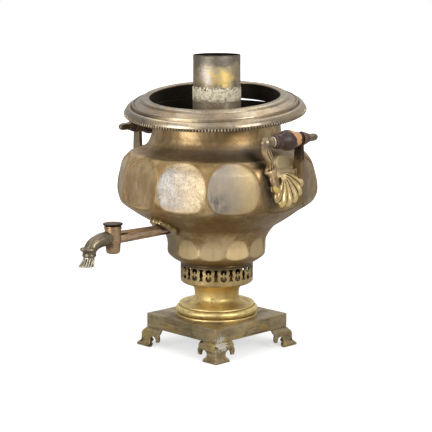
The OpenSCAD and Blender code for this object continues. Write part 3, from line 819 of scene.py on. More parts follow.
# name under which it is used: material name, metal, tarnish, stain, seed, cloud size, tarnished, stained, specks,
# polish, dullness, scratches, rings, bump, metallic, and what the piece has besides
BRASS = {
    "body": ("aged_body_brass", "body_metal", "body_tarnish", "body_stain", 1.0, 16, 0.62, 0.28, 0.25, 0.33, 0.45,
        0.35, 0.35, 0.22, 0.88, body_look),
    "ring": ("worn_plate_ring", "ring_plate", "ring_tarnish", "ring_stain", 3.0, 24, 0.45, 0.3, 0.35, 0.3, 0.42,
        0.7, 0.5, 0.22, 0.9, ring_look),
    "chimney": ("chimney_brass", "chimney_metal", "chimney_tarnish", "body_stain", 5.0, 30, 0.5, 0.35, 0.4, 0.48,
        0.62, 0.3, 0.3, 0.35, 0.8, chimney_look),
    "fire_tube": ("fire_tube_brass", "chimney_metal", "chimney_tarnish", "soot", 6.0, 60, 0.6, 0.5, 0.6, 0.45, 0.7,
        0.2, 0.2, 0.4, 0.7),
    "beads": ("bead_plate", "bead", "ring_tarnish", "ring_stain", 3.5, 70, 0.4, 0.4, 0.3, 0.34, 0.48, 0.3, 0.1,
        0.15, 0.92),
    "ring_gap": ("ring_gap", "ring_stain", "soot", "soot", 3.7, 50, 0.6, 0.5, 0.3, 0.5, 0.7, 0.1, 0.1, 0.2, 0.7),
    "plate": ("tap_plate_brass", "plate_metal", "tap_tarnish", "tap_stain", 17.0, 60, 0.45, 0.4, 0.35, 0.3, 0.48,
        0.4, 0.1, 0.3, 0.88),
    "shank": ("shank_bronze", "shank_metal", "tap_metal", "tap_stain", 21.0, 50, 0.45, 0.35, 0.4, 0.34, 0.5, 0.5,
        0.1, 0.35, 0.85),
    "plug": ("plug_bronze", "plug_metal", "tap_tarnish", "tap_stain", 18.0, 60, 0.55, 0.4, 0.35, 0.35, 0.55, 0.4,
        0.4, 0.3, 0.85),
    "nozzle": ("nozzle_bronze", "nozzle_metal", "spout_metal", "tap_stain", 19.0, 70, 0.4, 0.35, 0.4, 0.32, 0.5,
        0.4, 0.1, 0.3, 0.85),
    "arm": ("arm_brass", "arm_metal", "leaf_tarnish", "leaf_stain", 20.0, 60, 0.45, 0.45, 0.35, 0.36, 0.5, 0.3,
        0.1, 0.3, 0.88, ball_look),
    "gallery": ("gallery_brass", "gold_metal", "gold_tarnish", "gold_stain", 7.0, 45, 0.3, 0.28, 0.3, 0.24, 0.4,
        0.3, 0.2, 0.3, 0.92, gallery_look),
    "stem": ("stem_brass", "stem_metal", "gold_tarnish", "gold_stain", 8.0, 26, 0.34, 0.2, 0.2, 0.45, 0.58, 0.3,
        0.6, 0.2, 0.94, stem_look),
    "base": ("plinth_brass", "base_metal", "base_tarnish", "base_stain", 9.0, 30, 0.5, 0.3, 0.35, 0.36, 0.55, 0.8,
        0.1, 0.35, 0.85, base_look),
    "tap": ("tap_bronze", "tap_metal", "tap_tarnish", "tap_stain", 11.0, 60, 0.55, 0.35, 0.35, 0.3, 0.5, 0.4, 0.1,
        0.35, 0.85),
    "spout": ("spout_bronze", "spout_metal", "tap_tarnish", "tap_stain", 12.0, 60, 0.45, 0.35, 0.4, 0.32, 0.5, 0.4,
        0.1, 0.35, 0.85),
    "leaf": ("leaf_brass", "leaf_metal", "leaf_tarnish", "leaf_stain", 13.0, 50, 0.35, 0.35, 0.3, 0.38, 0.52, 0.3,
        0.1, 0.3, 0.9, leaf_look),
    # lit and shaded copies of the flat arm's finish: painted light and shade
    "arm_dark": ("dark_arm_brass", "arm_dark", "arm_black", "leaf_stain", 14.0, 50, 0.5, 0.4, 0.3, 0.35, 0.55, 0.3,
        0.1, 0.3, 0.8, arm_look),
    "arm_lit": ("worn_arm_brass", "inner_tarnish", "arm_tarnish", "leaf_stain", 14.5, 50, 0.5, 0.4, 0.3, 0.35,
        0.55, 0.3, 0.1, 0.3, 0.8),
    "rod": ("rod_brass", "spout_metal", "leaf_tarnish", "leaf_stain", 15.0, 90, 0.5, 0.4, 0.4, 0.3, 0.5, 0.4, 0.1,
        0.35, 0.85),
    "washer": ("pale_washer", "washer", "ring_tarnish", "ring_stain", 16.0, 120, 0.4, 0.3, 0.4, 0.3, 0.5, 0.4, 0.1,
        0.35, 0.7),
}


def make_materials(finishes):
    """Every finish of the samovar, by the name it is used under."""
    PAINT.update({key: (*getattr(finishes, key), 1.0) for key in COLORS})
    patina_group()
    scratch_group()
    MATERIALS.update({key: brass_material(*row) for key, row in BRASS.items()})
    MATERIALS["crust"] = finish("pale_solder", crust_look, 0.7, 0.001, Metallic=0.25)
    MATERIALS["iron"] = finish("sooty_iron", iron_look, 0.5, 0.0008, Metallic=0.5)
    MATERIALS["grip_right"] = wood_material("grip_wood_right", BARE_BAND)
    MATERIALS["grip_left"] = wood_material("grip_wood_left")
    MATERIALS["wood"] = wood_material("dark_wood")


# each colour as it is under plain light
COLORS = {
    "body_metal": (0.559, 0.404, 0.209), "body_tarnish": (0.288, 0.183, 0.075), "body_stain": (0.13, 0.091, 0.046),
    "shade": (0.24, 0.147, 0.053), "facet": (0.307, 0.304, 0.303), "facet_spot": (0.207, 0.14, 0.068),
    "facet_warm": (0.751, 0.569, 0.299), "facet_dim": (0.347, 0.275, 0.173), "blue": (0.15, 0.145, 0.15),
    "grime": (0.02, 0.014, 0.009), "dusty": (0.3, 0.255, 0.2), "brushed": (0.62, 0.455, 0.255),
    # run: the colour of old water runs, also used for the painted shadow under the ring
    "run": (0.2, 0.14, 0.07), "ring_plate": (0.37, 0.31, 0.225), "ring_tarnish": (0.25, 0.19, 0.125),
    "ring_stain": (0.1, 0.075, 0.05), "ring_brass": (0.36, 0.265, 0.155), "chimney_metal": (0.413, 0.344, 0.241),
    "chimney_tarnish": (0.267, 0.203, 0.124), "yellow": (0.765, 0.551, 0.192), "chimney_brown": (0.25, 0.17, 0.09),
    "stem_side_shade": (0.42, 0.28, 0.09), "chimney_dark": (0.15, 0.118, 0.082), "silver": (0.552, 0.497, 0.442),
    "soot": (0.169, 0.143, 0.114), "rim": (0.1, 0.085, 0.07), "arm_dark": (0.064, 0.042, 0.024),
    "arm_black": (0.036, 0.025, 0.015), "bead": (0.36, 0.29, 0.2), "plate_metal": (0.36, 0.26, 0.115),
    "shank_metal": (0.559, 0.403, 0.269), "plug_metal": (0.025, 0.015, 0.008), "nozzle_metal": (0.42, 0.37, 0.27),
    "arm_metal": (0.599, 0.433, 0.235), "inner_tarnish": (0.32, 0.255, 0.165), "gold_metal": (0.56, 0.405, 0.183),
    "gold_tarnish": (0.39, 0.26, 0.104), "gold_stain": (0.08, 0.05, 0.02), "stem_metal": (0.782, 0.613, 0.265),
    "base_metal": (0.354, 0.275, 0.151), "base_tarnish": (0.19, 0.14, 0.072), "base_gold": (0.4, 0.28, 0.1),
    "base_rust": (0.3, 0.17, 0.08), "base_pale": (0.45, 0.37, 0.25), "bare": (0.8, 0.77, 0.7),
    "arm_foot": (0.24, 0.165, 0.085), "base_stain": (0.08, 0.055, 0.03), "tap_metal": (0.437, 0.286, 0.158),
    "tap_tarnish": (0.2, 0.13, 0.08), "tap_stain": (0.07, 0.045, 0.03), "spout_metal": (0.203, 0.164, 0.11),
    "leaf_metal": (0.76, 0.58, 0.29), "leaf_tarnish": (0.389, 0.265, 0.12), "stem_shade": (0.62, 0.42, 0.13),
    "inside_dark": (0.012, 0.01, 0.007), "inside_light": (0.07, 0.055, 0.038), "soot_black": (0.012, 0.01, 0.008),
    "gold_shade": (0.13, 0.09, 0.045), "boss": (0.36, 0.285, 0.17), "leaf_tip": (0.74, 0.53, 0.16),
    "ball": (0.218, 0.174, 0.11), "leaf_stain": (0.08, 0.055, 0.025), "arm_tarnish": (0.17, 0.125, 0.08),
    "washer": (0.632, 0.54, 0.429), "wood": (0.021, 0.011, 0.009), "wood_light": (0.052, 0.025, 0.017),
    "wood_dust": (0.059, 0.04, 0.034), "wood_worn": (0.165, 0.084, 0.061), "wood_orange": (0.512, 0.249, 0.105),
    "crust": (0.666, 0.598, 0.44), "crust_dark": (0.34, 0.281, 0.18), "crust_pit": (0.06, 0.05, 0.035),
    "iron": (0.03, 0.028, 0.026), "iron_rust": (0.08, 0.05, 0.03), "flue": (0.015, 0.013, 0.012),
}


class SamovarFinishes(bpy.types.PropertyGroup):
    """Colours of the metals, the wood and the solder"""


for _key, _color in COLORS.items():
    _label = _key.replace("_", " ").capitalize()
    SamovarFinishes.__annotations__[_key] = bpy.props.FloatVectorProperty(
        name=_label, description=_label + ", as it is under plain light", size=3, min=0, max=1, default=_color,
        subtype="COLOR")


class SamovarSizes(bpy.types.PropertyGroup):
    """Sizes of what the looks add to the frame"""
    facet_edge: bpy.props.FloatProperty(
        name="Facet edge", description="Rounding where a facet meets the belly", default=0.0009, min=0.0002,
        unit="LENGTH")
    dents: bpy.props.FloatProperty(
        name="Dents", description="Depth of the dents in the sheet", default=0.00045, min=0, unit="LENGTH")
    bead_count: bpy.props.IntProperty(
        name="Beads", description="Number of beads round the top ring", default=186, min=24, max=400)
    bead_size: bpy.props.FloatProperty(
        name="Bead size", description="Radius of one bead", default=0.0017, min=0.0004, unit="LENGTH")
    flutes: bpy.props.IntProperty(
        name="Flutes", description="Number of flutes round the nozzle", default=14, min=6, max=40)
    lobes: bpy.props.IntProperty(
        name="Lobes", description="Number of lobes of each leaf bracket", default=6, min=4, max=15)


class SamovarStage(bpy.types.PropertyGroup):
    """Camera and lights"""
    distance: bpy.props.FloatProperty(
        name="Distance", description="Camera to the samovar's axis, level", default=2.1, unit="LENGTH")
    height: bpy.props.FloatProperty(
        name="Height", description="Height of the camera", default=0.55095, unit="LENGTH")
    azimuth: bpy.props.FloatProperty(
        name="Azimuth", description="Turn of the camera round the samovar", default=math.radians(45.58),
        subtype="ANGLE", unit="ROTATION")
    pitch: bpy.props.FloatProperty(
        name="Pitch", description="How far the camera looks down", default=math.radians(9.79), subtype="ANGLE",
        unit="ROTATION")
    lens: bpy.props.FloatProperty(name="Lens", description="Focal length, millimetres", default=124.1)
    left_light: bpy.props.FloatProperty(
        name="Left light", description="Power of the light at the camera's left", default=16, unit="POWER")
    right_light: bpy.props.FloatProperty(
        name="Right light", description="Power of the light at the camera's right", default=13, unit="POWER")
    front_world: bpy.props.FloatProperty(
        name="Room", description="Brightness of the surroundings before the samovar, in the metal", default=0.3)
    back_world: bpy.props.FloatProperty(
        name="Backdrop", description="Brightness of the backdrop, in the metal", default=0.68)
    side_world: bpy.props.FloatProperty(
        name="Right side", description="Extra brightness at the camera's right, in the metal", default=0.14)
    top_world: bpy.props.FloatProperty(
        name="Ceiling", description="Extra brightness overhead, in the metal", default=1.1)
    plain_world: bpy.props.FloatProperty(
        name="Soft light", description="Brightness of the surroundings on dull surfaces", default=0.85)
    floor: bpy.props.FloatProperty(name="Floor", description="How pale the floor is", default=0.5)
    floor_lift: bpy.props.FloatProperty(
        name="Floor lift", description="What brings the floor up to the backdrop's white", default=0.6)


# ---- the body

SLIM_TURN = math.radians(45.6)
RIM_TURN = math.radians(172)
# how bright each facet is worn and how far it is rubbed: the two nearest the tap are rubbed most
TONES = (0.5, 0.35, 0.6, 0.45, 0.6, 0.35, 0.65, 0.4, 0.45, 0.6, 1.0, 0.62)
RUBBED = (0.35, 0.3, 0.5, 0.3, 0.4, 0.6, 0.3, 0.4, 0.25, 0.2, 1.0, 0.9)
CUP_TONES = (0.5, 0.3, 0.6, 0.4, 0.5, 0.3, 0.6, 0.4, 0.1, 0.65, 0.5, 1.0)
GOLDEN_FACET = 11
BLUE_SPOT = Vector((101.0, -96.5, 229.0))


def body_marks(x, y, z):
    """What the body's material asks of one point, besides its facets."""
    turn = math.atan2(y, x)
    t = math.degrees(turn)

    def near(middle, width):
        return bell((t - middle + 180) % 360 - 180, 0, width)

    # painted light and shade: lighter and darker sides, a painted highlight on the neck and a lighter right
    # shoulder; and dust on the shoulder
    belly = ease(z, 196, 214) * (1 - ease(z, 284, 296))
    neck = ease(z, 298, 306) * (1 - ease(z, 328, 336))
    tint = (1 + 0.3 * near(-77, 15) * neck - 0.2 * near(-118, 22) * neck + 0.5 * near(-12, 26) * bell(z, 291, 9)
            + 0.2 * near(-98, 36) * belly - 0.26 * near(12, 40) * belly
            - 0.42 * near(-108, 26) * (1 - ease(z, 165, 182))
            - 0.16 * near(-40, 50) * ease(z, 172, 184) * (1 - ease(z, 200, 212)))
    dusty = near(-14, 34) * bell(z, 291, 9) + 0.5 * near(-60, 30) * bell(z, 290, 6)
    # painted shadow of the arm in the crease beside each leaf
    crease = -11.5 - 3.2 * ease(z, 225, 255) - 3.5 * ease(z, 258, 290)
    grime = bell((t + 90) % 180 - 90, crease, 4.8) * ease(z, 205, 228) * (1 - ease(z, 284, 300))
    if z > CUP_TOP:
        a, k = facet_angle(turn, FACET_TURN)
        golden = k == GOLDEN_FACET
        warm = clamp(0.25 + a * 4.6 * (1 if golden else 0.4) + (0.5 if golden else 0.3) * ease(-z, -224, -208)
                     + (0 if golden else 0.35 * ease(z, 266, 278)))
        tone = TONES[k]
    else:
        tone, warm = CUP_TONES[facet_angle(turn, CUP_TURN)[1]], 1.0
    return {"tone": tone, "warm": warm, "tint": tint, "dusty": dusty, "grime": grime,
            "blue": bell((Vector((x, y, z)) - BLUE_SPOT).length, 0, 12)}


def body_skin(sizes):
    cols, edge, dents = 420, sizes.facet_edge / MM, sizes.dents / MM
    verts, facet, rim, inside = [], [], [], []

    def put(t, r, z):
        verts.append(polar(t, r, z + 1.6 * ease(z, 325, 347) * bell(half_sine(t, RIM_TURN), 0, 0.42)))

    def slimmer(t, z, depth, width):
        return depth * max(0.0, math.cos(t - SLIM_TURN)) ** 2 * bell(z, 202, width)

    for r, z in even_line(smooth_line(BODY_LINE, 6), 2.1):
        for t in around(cols):
            rr, deep = body_radius(t, r, z, edge)
            p = polar(t, rr, z)
            put(t, rr + dents * (noise.noise(p / 46) + 0.4 * noise.noise(p / 17)) - slimmer(t, z, 3.6, 11), z)
            inside.append(float(z > 346.2))
            flat, line = 0.0, 0.0
            if z <= CUP_TOP:
                flat = ease(deep, -0.1, 0.8)
            elif FACET_LOW < z < FACET_HIGH:
                flat = ease(deep, -1.3, 0.1) * (0.35 + 0.65 * ease(z, 209, 226))
                flat *= RUBBED[facet_angle(t, FACET_TURN)[1]]
                line = ease(deep, -7.5, -1.2) * (1 - ease(deep, -0.6, 0.5))
            facet.append(flat)
            rim.append(line)
    wall = [(54.0, 126.5)]
    for r, z in reversed(even_line(BODY_LINE, 9.0)[:-1]):
        flat = facet_flat(z) - FACET_LEAN if FACET_LOW < z < FACET_HIGH else r
        wall.append((min(r, flat, 69.0 if z < 172 else r) - 2.4, min(z, 347.2)))
    for r, z in wall:
        for t in around(cols):
            put(t, r - slimmer(t, z, 4.4, 13), z)
    plain = [0.0] * (len(wall) * cols)
    obj = drawn("body_skin", verts, grid_faces(len(verts) // cols, cols, wrap_rows=True))
    mark(obj, "facet", facet + plain)
    mark(obj, "rim", rim + plain)
    # the inner wall counts as inside, where the material paints shade
    mark(obj, "inside", inside + [1.0] * len(plain))
    marks = [body_marks(*v) for v in verts]
    for label in marks[0]:
        mark(obj, label, [m[label] for m in marks])
    with edited(obj.data) as bm:
        bmesh.ops.recalc_face_normals(bm, faces=bm.faces)
    settle(shade(obj, 50), "samovar", "aged_brass", "body", "body_shell")


def mark_points(obj, label, value):
    """Stores value(x, y, z) for each point, in millimetres."""
    mark(obj, label, [value(*(v.co / MM)) for v in obj.data.vertices])


def chimney_tube():
    r = CHIMNEY_R
    outline = ([(r + 0.5, 364.5), (r + 0.3, 370)] + [(r, 378 + 4 * i) for i in range(10)]
               + [(r, 417.6), (r - 0.15, 418.6), (r - 0.7, 419.2), (r - 1.2, 418.9)]
               + [(r - 1.4, 416 - 8 * i) for i in range(7)])

    def dented(t, rr, z):
        p = polar(t, rr, z)
        top = 0.35 * noise.noise(polar(t, 1) * 2.4) * ease(z, 410, 419)
        return rr + 0.28 * noise.noise(p / 21) + 0.1 * noise.noise(p / 7), z + min(0.0, top - 0.1)

    obj = turned("chimney_tube", outline, 120, shape=dented)
    mark_points(obj, "inside", lambda x, y, z: float(math.hypot(x, y) < r - 0.9))
    # a painted yellow highlight at the camera's right and a painted silvery highlight at its left
    for label, turn, height in (("yellow", -27, 388), ("silver", -76, 394)):
        mark_points(obj, label, lambda x, y, z: (
            bell(half_sine(math.atan2(y, x), math.radians(turn)), 0, 0.24) * bell(z, height, 13)))
    settle(obj, "samovar", "aged_brass", "chimney", "chimney")


def solder_band():
    r = CHIMNEY_R
    rows = [(r + 0.3, 354.0), (r + 0.6, 354.2)] + [(r + 0.72, 355.3 + i * 1.05) for i in range(17)]
    rows += [(r + 0.6, 374.0), (r + 0.2, 374.7), (r - 0.2, 374.0), (r - 0.2, 355)]

    def crusty(t, rr, z):
        if rr < r + 0.4:
            return rr, z
        p = polar(t, 34, z)
        d = 0.5 * noise.noise(p / 3.1) + 0.45 * noise.noise(p / 1.4) + 0.25 * noise.noise(p / 0.7)
        wave = 1.3 * noise.noise(polar(t, 1, 5) * 3.2)
        return rr + min(0.45, d * 0.75), z + wave * (ease(z, 368, 374.5) - ease(z, 360, 354.4))

    obj = turned("solder_band", rows, 240, shape=crusty)
    settle(obj, "samovar", "solder", "crust", "joint_band")


# ---- top ring


def ring_matrix():
    return (Matrix.Translation((0, -RING_SLID, RING_Z)) @ Matrix.Rotation(RING_LOW, 4, "Z")
            @ Matrix.Rotation(RING_TILT, 4, "Y"))


def ring_skin():
    # (distance out from the hole, height)
    top = [(0.1, -1.2), (0.5, 0.1), (1.8, 1.0), (4.2, 1.4), (7.5, 1.0), (10.2, 0.0), (11.8, -1.3), (12.6, -2.6),
           (14, -3.6), (17, -5.2), (20, -6.7), (22.4, -7.9), (22.9, -7.1), (23.8, -6.9), (24.7, -7.6), (25.0, -9.6),
           (25.4, -11.6), (26.2, -12.1), (27.0, -11.4), (28.4, -10.8), (30.6, -11.3), (32.6, -12.8), (34.1, -14.8),
           (35.0, -16.8), (35.3, -18.4)]
    under = [(34.0, -18.6), (33.4, -16.8), (31.4, -14.9), (27, -13.3), (23, -12.4), (20.5, -9.4), (9, -5), (4.6, -3),
             (1.6, -4), (1.5, -12), (1.5, -23.4), (0.9, -23.7), (0, -23.5), (0, -16), (0, -9), (0, -3)]
    outline = [(RING_IN + out, z) for out, z in smooth_line(top, 3) + under]

    def dented(t, r, z):
        p = polar(t, r)
        return r + 0.2 * noise.noise(p / 33), z + 0.35 * noise.noise(p / 41 + Vector((3, 1, 0)))

    obj = turned("ring_skin", outline, 300, ring_matrix(), dented, 45)
    back = ring_matrix().inverted()

    def hidden(x, y, z):
        q = back @ Vector((x, y, z))
        return float(q.z < -1.0 and math.hypot(q.x, q.y) < RING_IN + 1.0)

    # under the lip counts as inside, where the material paints shade
    mark_points(obj, "inside", hidden)
    settle(obj, "ring", "worn_plate", "ring", "top_ring")


def end_tree(tree, geometry, metal):
    """The end of both trees: real geometry with its material."""
    real = made("GeometryNodeRealizeInstances", {0: geometry})
    add(tree, "NodeGroupOutput", {0: made("GeometryNodeSetMaterial", {"Geometry": real, "Material": metal})})
    return tree


def bead_tree():
    """Geometry nodes: beads on a circle, square to it and a little uneven, as cast beads are."""
    t, i = new_tree("Geometry", "Beaded edge", {
        "Geometry": "Geometry", "Beads": 180, "Ring radius": 0.127, "Bead radius": 0.0019, "Bead height": 1.4,
        "Drop": -0.02, "Metal": "Material"}, {"Geometry": "Geometry"})
    circle = made("GeometryNodeMeshCircle", {"Vertices": i["Beads"], "Radius": i["Ring radius"]})
    bead = made("GeometryNodeMeshUVSphere", {"Segments": 10, "Rings": 6, "Radius": i["Bead radius"]})
    size = made("ShaderNodeCombineXYZ", {0: 1.1, 1: 0.86, 2: i["Bead height"]})
    uneven = add(t, "FunctionNodeRandomValue", {
        "Min": (0.88, 0.9, 0.88), "Max": (1.06, 1.05, 1.06), "Seed": 7}, data_type="FLOAT_VECTOR")
    square = made("FunctionNodeAlignRotationToVector", {"Vector": add(t, "GeometryNodeInputPosition")},
                  axis="X", pivot_axis="Z")
    beads = made("GeometryNodeInstanceOnPoints", {
        "Points": circle, "Instance": bead, "Rotation": square, "Scale": vector("MULTIPLY", size, uneven)})
    lowered = made("GeometryNodeTransform", {
        "Geometry": beads, "Translation": made("ShaderNodeCombineXYZ", {2: i["Drop"]})})
    return end_tree(t, lowered, i["Metal"])


def run_tree(name, tree, values):
    """Runs a geometry nodes tree on an empty mesh and keeps the result as a plain mesh."""
    obj = new_object(name, bpy.data.meshes.new(name))
    mod = obj.modifiers.new(tree.name, "NODES")
    mod.node_group = tree
    for item in tree.interface.items_tree:
        if item.in_out == "INPUT" and item.name in values:
            mod[item.identifier] = values[item.name]
    bake_modifiers(obj)
    return obj


def bead_ring(sizes):
    beads = run_tree("bead_run", bead_tree(), {
        "Beads": sizes.bead_count, "Ring radius": (RING_OUT - 1.35) * MM, "Bead radius": sizes.bead_size,
        "Bead height": 1.6, "Drop": -0.0204, "Metal": MATERIALS["ring"]})
    m = ring_matrix()
    beads.data.transform(Matrix.Translation(m.translation * MM) @ m.to_3x3().to_4x4())
    settle(beads, "ring", "worn_plate", "beads", "bead_edge")
    outline = [(3.7, -18.3), (2.2, -18.3), (2.1, -19.4), (2.3, -21.2), (2.9, -22.3), (3.8, -22.1), (4.2, -20.2)]
    seat = turned("bead_seat", [(RING_OUT - back, z) for back, z in outline], 240, m)
    settle(seat, "ring", "worn_plate", "ring_gap")


# ---- stem, flange, plinth, feet


def stem_turning():
    low, high, r = STEM_LOW, STEM_HIGH, 31.7
    neck = [(6.0, 0.05), (5.6, 0.9), (4.3, 2.2), (2.8, 4.2), (1.4, 7.0), (0.5, 10.0)]
    outer = [(r + out, high - down) for out, down in neck]
    outer += [(r + 17 + 17 * math.cos(t), low + 12.5 + 10.9 * math.sin(t))
              for t in map(math.radians, range(180, 265, 7))]
    outer += [(51.5, low + 1.5), (53.6, low + 1.35), (54.3, low + 0.9), (54.2, low + 0.05)]
    inner = [(51.1, low + 0.05), (44, low + 0.8), (36, low + 4), (29, low + 11), (27.8, high - 4),
             (27.8, high - 0.05)]
    obj = turned("stem_turning", even_line(outer, 1.6) + inner, 144)
    settle(obj, "samovar", "bright_brass", "stem", "stem")


def flange_turning():
    z, r = PLINTH_TOP, 59.1
    outline = [(r - 14, z + 0.02), (r - 1.0, z + 0.02), (r - 0.9, z + 1.2), (r - 1.3, z + 1.9), (r - 1.0, z + 2.6)]
    outline += [(r - 6.4 + 6.4 * math.cos(t), z + 8.0 + 5.6 * math.sin(t))
                for t in map(math.radians, range(-66, 79, 9))]
    outline += [(r - 5.3, z + 14.0), (r - 5.6, z + 14.7), (r - 5.9, z + 15.5), (r - 14, z + 15.5)]
    settle(turned("flange_turning", outline, 160), "samovar", "bright_brass", "stem", "stem_flange")


def plinth_block():
    obj = cad_copy("plinth_block", "plinth", 0.9, 3, 9)
    roughen(obj, 0.22, 26, 2)
    settle(obj, "samovar", "dull_brass", "base", "plinth")


def feet():
    for name, turn in FEET.items():
        obj = cad_copy(name.replace("foot", "toe"), name, 0.7, 2, 5)
        roughen(obj, 0.18, 9, turn / 90 + 1, lambda p: ease(p.z, 1.0, 3.0))
        settle(obj, "samovar", "dull_brass", "base", name)


# ---- tap


def tap_pieces(sizes):
    for node, body, material in (("tap_plate", "samovar", "plate"), ("tap_shank", "samovar", "shank"),
                                 ("tap_barrel", "samovar", "tap"), ("tap_plug", "plug", "plug")):
        obj = cad_copy(node.replace("tap", "cock"), node, 0.45, 2, 4)
        roughen(obj, 0.1, 6, 3)
        settle(obj, body, "tap_bronze", material, node)
    groove = turned("barrel_ring", [(10.9, 194.6), (11.9, 194.9), (12.15, 195.6), (11.9, 196.3), (10.9, 196.6)], 64,
                    Matrix.Translation((0, -BARREL_Y, 0)))
    settle(groove, "samovar", "tap_bronze", "tap")
    bent_spout()
    spout_collar()
    flare_nozzle(sizes)


def spout_tree():
    """Geometry nodes: a round tube along a bent path, thinner toward its end."""
    t, i = new_tree("Geometry", "Bent spout", {
        "Start": (0, 0, 0), "Bend": (0, 0, 0), "End": (0, 0, 0), "Radius": 0.009, "End size": 0.85, "Steps": 40,
        "Metal": "Material"}, {"Geometry": "Geometry"})
    path = made("GeometryNodeCurveQuadraticBezier", {
        "Resolution": i["Steps"], "Start": i["Start"], "Middle": i["Bend"], "End": i["End"]})
    taper = made("ShaderNodeMapRange", {
        "Value": add(t, "GeometryNodeSplineParameter", out="Factor"), "To Min": 1.0, "To Max": i["End size"]})
    sized = made("GeometryNodeSetCurveRadius", {"Curve": path, "Radius": taper})
    circle = made("GeometryNodeCurvePrimitiveCircle", {"Resolution": 48, "Radius": i["Radius"]})
    tube = made("GeometryNodeCurveToMesh", {
        "Curve": sized, "Profile Curve": circle, "Scale": taper, "Fill Caps": True})
    return end_tree(t, tube, i["Metal"])


def bent_spout():
    obj = run_tree("bent_spout", spout_tree(), {
        "Start": (0, -0.2030, SHANK_Z * MM + 0.0006), "Bend": (0, -0.2345, SHANK_Z * MM + 0.0012),
        "End": (0, -0.2365, 0.1655), "Radius": 0.0099, "End size": 0.88, "Steps": 44,
        "Metal": MATERIALS["spout"]})
    tidy_mesh(obj, 50)
    roughen(obj, 0.14, 7, 6)
    settle(obj, "samovar", "tap_bronze", "spout", "tap_spout")


def spout_collar():
    """The stepped collar between spout and mouthpiece, with a pointed lip before and behind."""
    steps = [(5, 0), (8.3, 0), (9.2, 0.8), (9.5, 2.2), (9.1, 3.6), (8.4, 4.4), (8.5, 6.4), (9.2, 7.6), (10.2, 8.6),
             (10.4, 10.2), (9.8, 11.6), (8.6, 12.3), (5, 12.3)]
    front, back = -math.pi / 2, math.pi / 2

    def pointed(t, r, z):
        lip = bell(half_sine(t, front), 0, 0.3)
        top = ease(z, COLLAR_Z + 4, COLLAR_Z + 10)
        return r + (3.6 * lip + 0.5 * bell(half_sine(t, back), 0, 0.3)) * top, z + 1.2 * lip * top

    obj = turned("spout_collar", even_line([(r, COLLAR_Z + z) for r, z in steps], 0.9), 72,
                 Matrix.Translation((0, NOZZLE_Y + 3.6, 0)), pointed)
    roughen(obj, 0.14, 5, 8)
    settle(obj, "samovar", "tap_bronze", "spout", "tap_collar")


def flare_nozzle(sizes):
    """The fluted mouthpiece, wider below and leaning forward."""
    cols, rows, wall = sizes.flutes * 8, 14, (13, 9, 5, 0)
    verts = []
    for n, k in enumerate((*range(rows), *wall)):
        t = k / (rows - 1)
        middle = Vector((0, NOZZLE_Y + 3.2 - 5.2 * t ** 1.5, COLLAR_Z + (NOZZLE_Z - COLLAR_Z) * t))
        lip = 0.35 * bell(t, 0.06, 0.06) + 0.3 * bell(t, 0.97, 0.05)
        for a in around(cols):
            flute = 0.5 * math.cos(sizes.flutes * a) * ease(t, 0.08, 0.25) * (1 - ease(t, 0.85, 0.97))
            verts.append(middle + polar(a, 7.2 + 3.1 * t ** 2.2 + lip + flute if n < rows else 3.4 + 4.4 * t ** 2))
    obj = tidy_mesh(drawn("flared_nozzle", verts, grid_faces(rows + len(wall), cols, wrap_rows=True)), 42)
    settle(obj, "samovar", "tap_bronze", "nozzle", "tap_nozzle")


# ---- handles: drawn for the right side, and turned half round for the left one


def half_turn(side):
    return Matrix.Rotation(0 if side == "right" else math.pi, 4, "Z")


def belly_point(y, z):
    """The point of the body's outside at +X for a place across and up."""
    x = 120.0
    for _ in range(4):
        r = body_radius(math.atan2(y, x), line_radius(z), z)[0]
        x = math.sqrt(max(1.0, r * r - y * y))
    return Vector((x, y, z))


def belly_normal(y, z):
    a = belly_point(y + 2, z) - belly_point(y - 2, z)
    b = belly_point(y, z + 2) - belly_point(y, z - 2)
    return a.cross(b).normalized()


def leaf_patch(name, side, hub, spot, cols, rows, facing=None):
    """A closed skin laid on the belly round one point; spot gives a place and its height above the belly.

    With facing, the skin is flat and looks that way."""
    place = half_turn(side)
    verts = []
    rim = ((1.0, -1.2), (0.5, -1.6))
    if facing:
        n = facing.normalized()
        across = (Vector((0, 1, 0)) - n * n.y).normalized()
        rim = ((1.0, -5.0), (0.5, -6.0))

    def put(rho, k, height=None):
        y, z, h = spot(rho, k)
        h = h if height is None else height
        if facing:
            p = belly_point(*hub) + across * (y - hub[0]) + n.cross(across) * (z - hub[1]) + n * h
        else:
            p = belly_point(y, z) + belly_normal(y, z) * h
        verts.append(place @ p)

    for i in range(1, rows + 1):
        for k in range(cols):
            put((i / rows) ** 0.85, k)
    for rho, height in rim:
        for k in range(cols):
            put(rho, k, height)
    first, last = len(verts), (rows + 1) * cols
    put(0.0, 0)
    put(0.0, 0, -1.8)
    faces = grid_faces(rows + 2, cols)
    for k in range(cols):
        faces.append((first, (k + 1) % cols, k))
        faces.append((first + 1, last + k, last + (k + 1) % cols))
    return tidy_mesh(drawn(name, verts, faces), 60)


# how far the leaf reaches from its hub, by the angle from straight down in degrees
LEAF_REACH = [(-28, 31), (-15, 41), (0, 46.5), (25, 48.5), (45, 48), (60, 45), (74, 41)]


def leaf_length(phi):
    d = math.degrees(phi)
    for (a, la), (b, lb) in zip(LEAF_REACH, LEAF_REACH[1:]):
        if d <= b:
            return la + (lb - la) * clamp((d - a) / (b - a))
    return LEAF_REACH[-1][1]


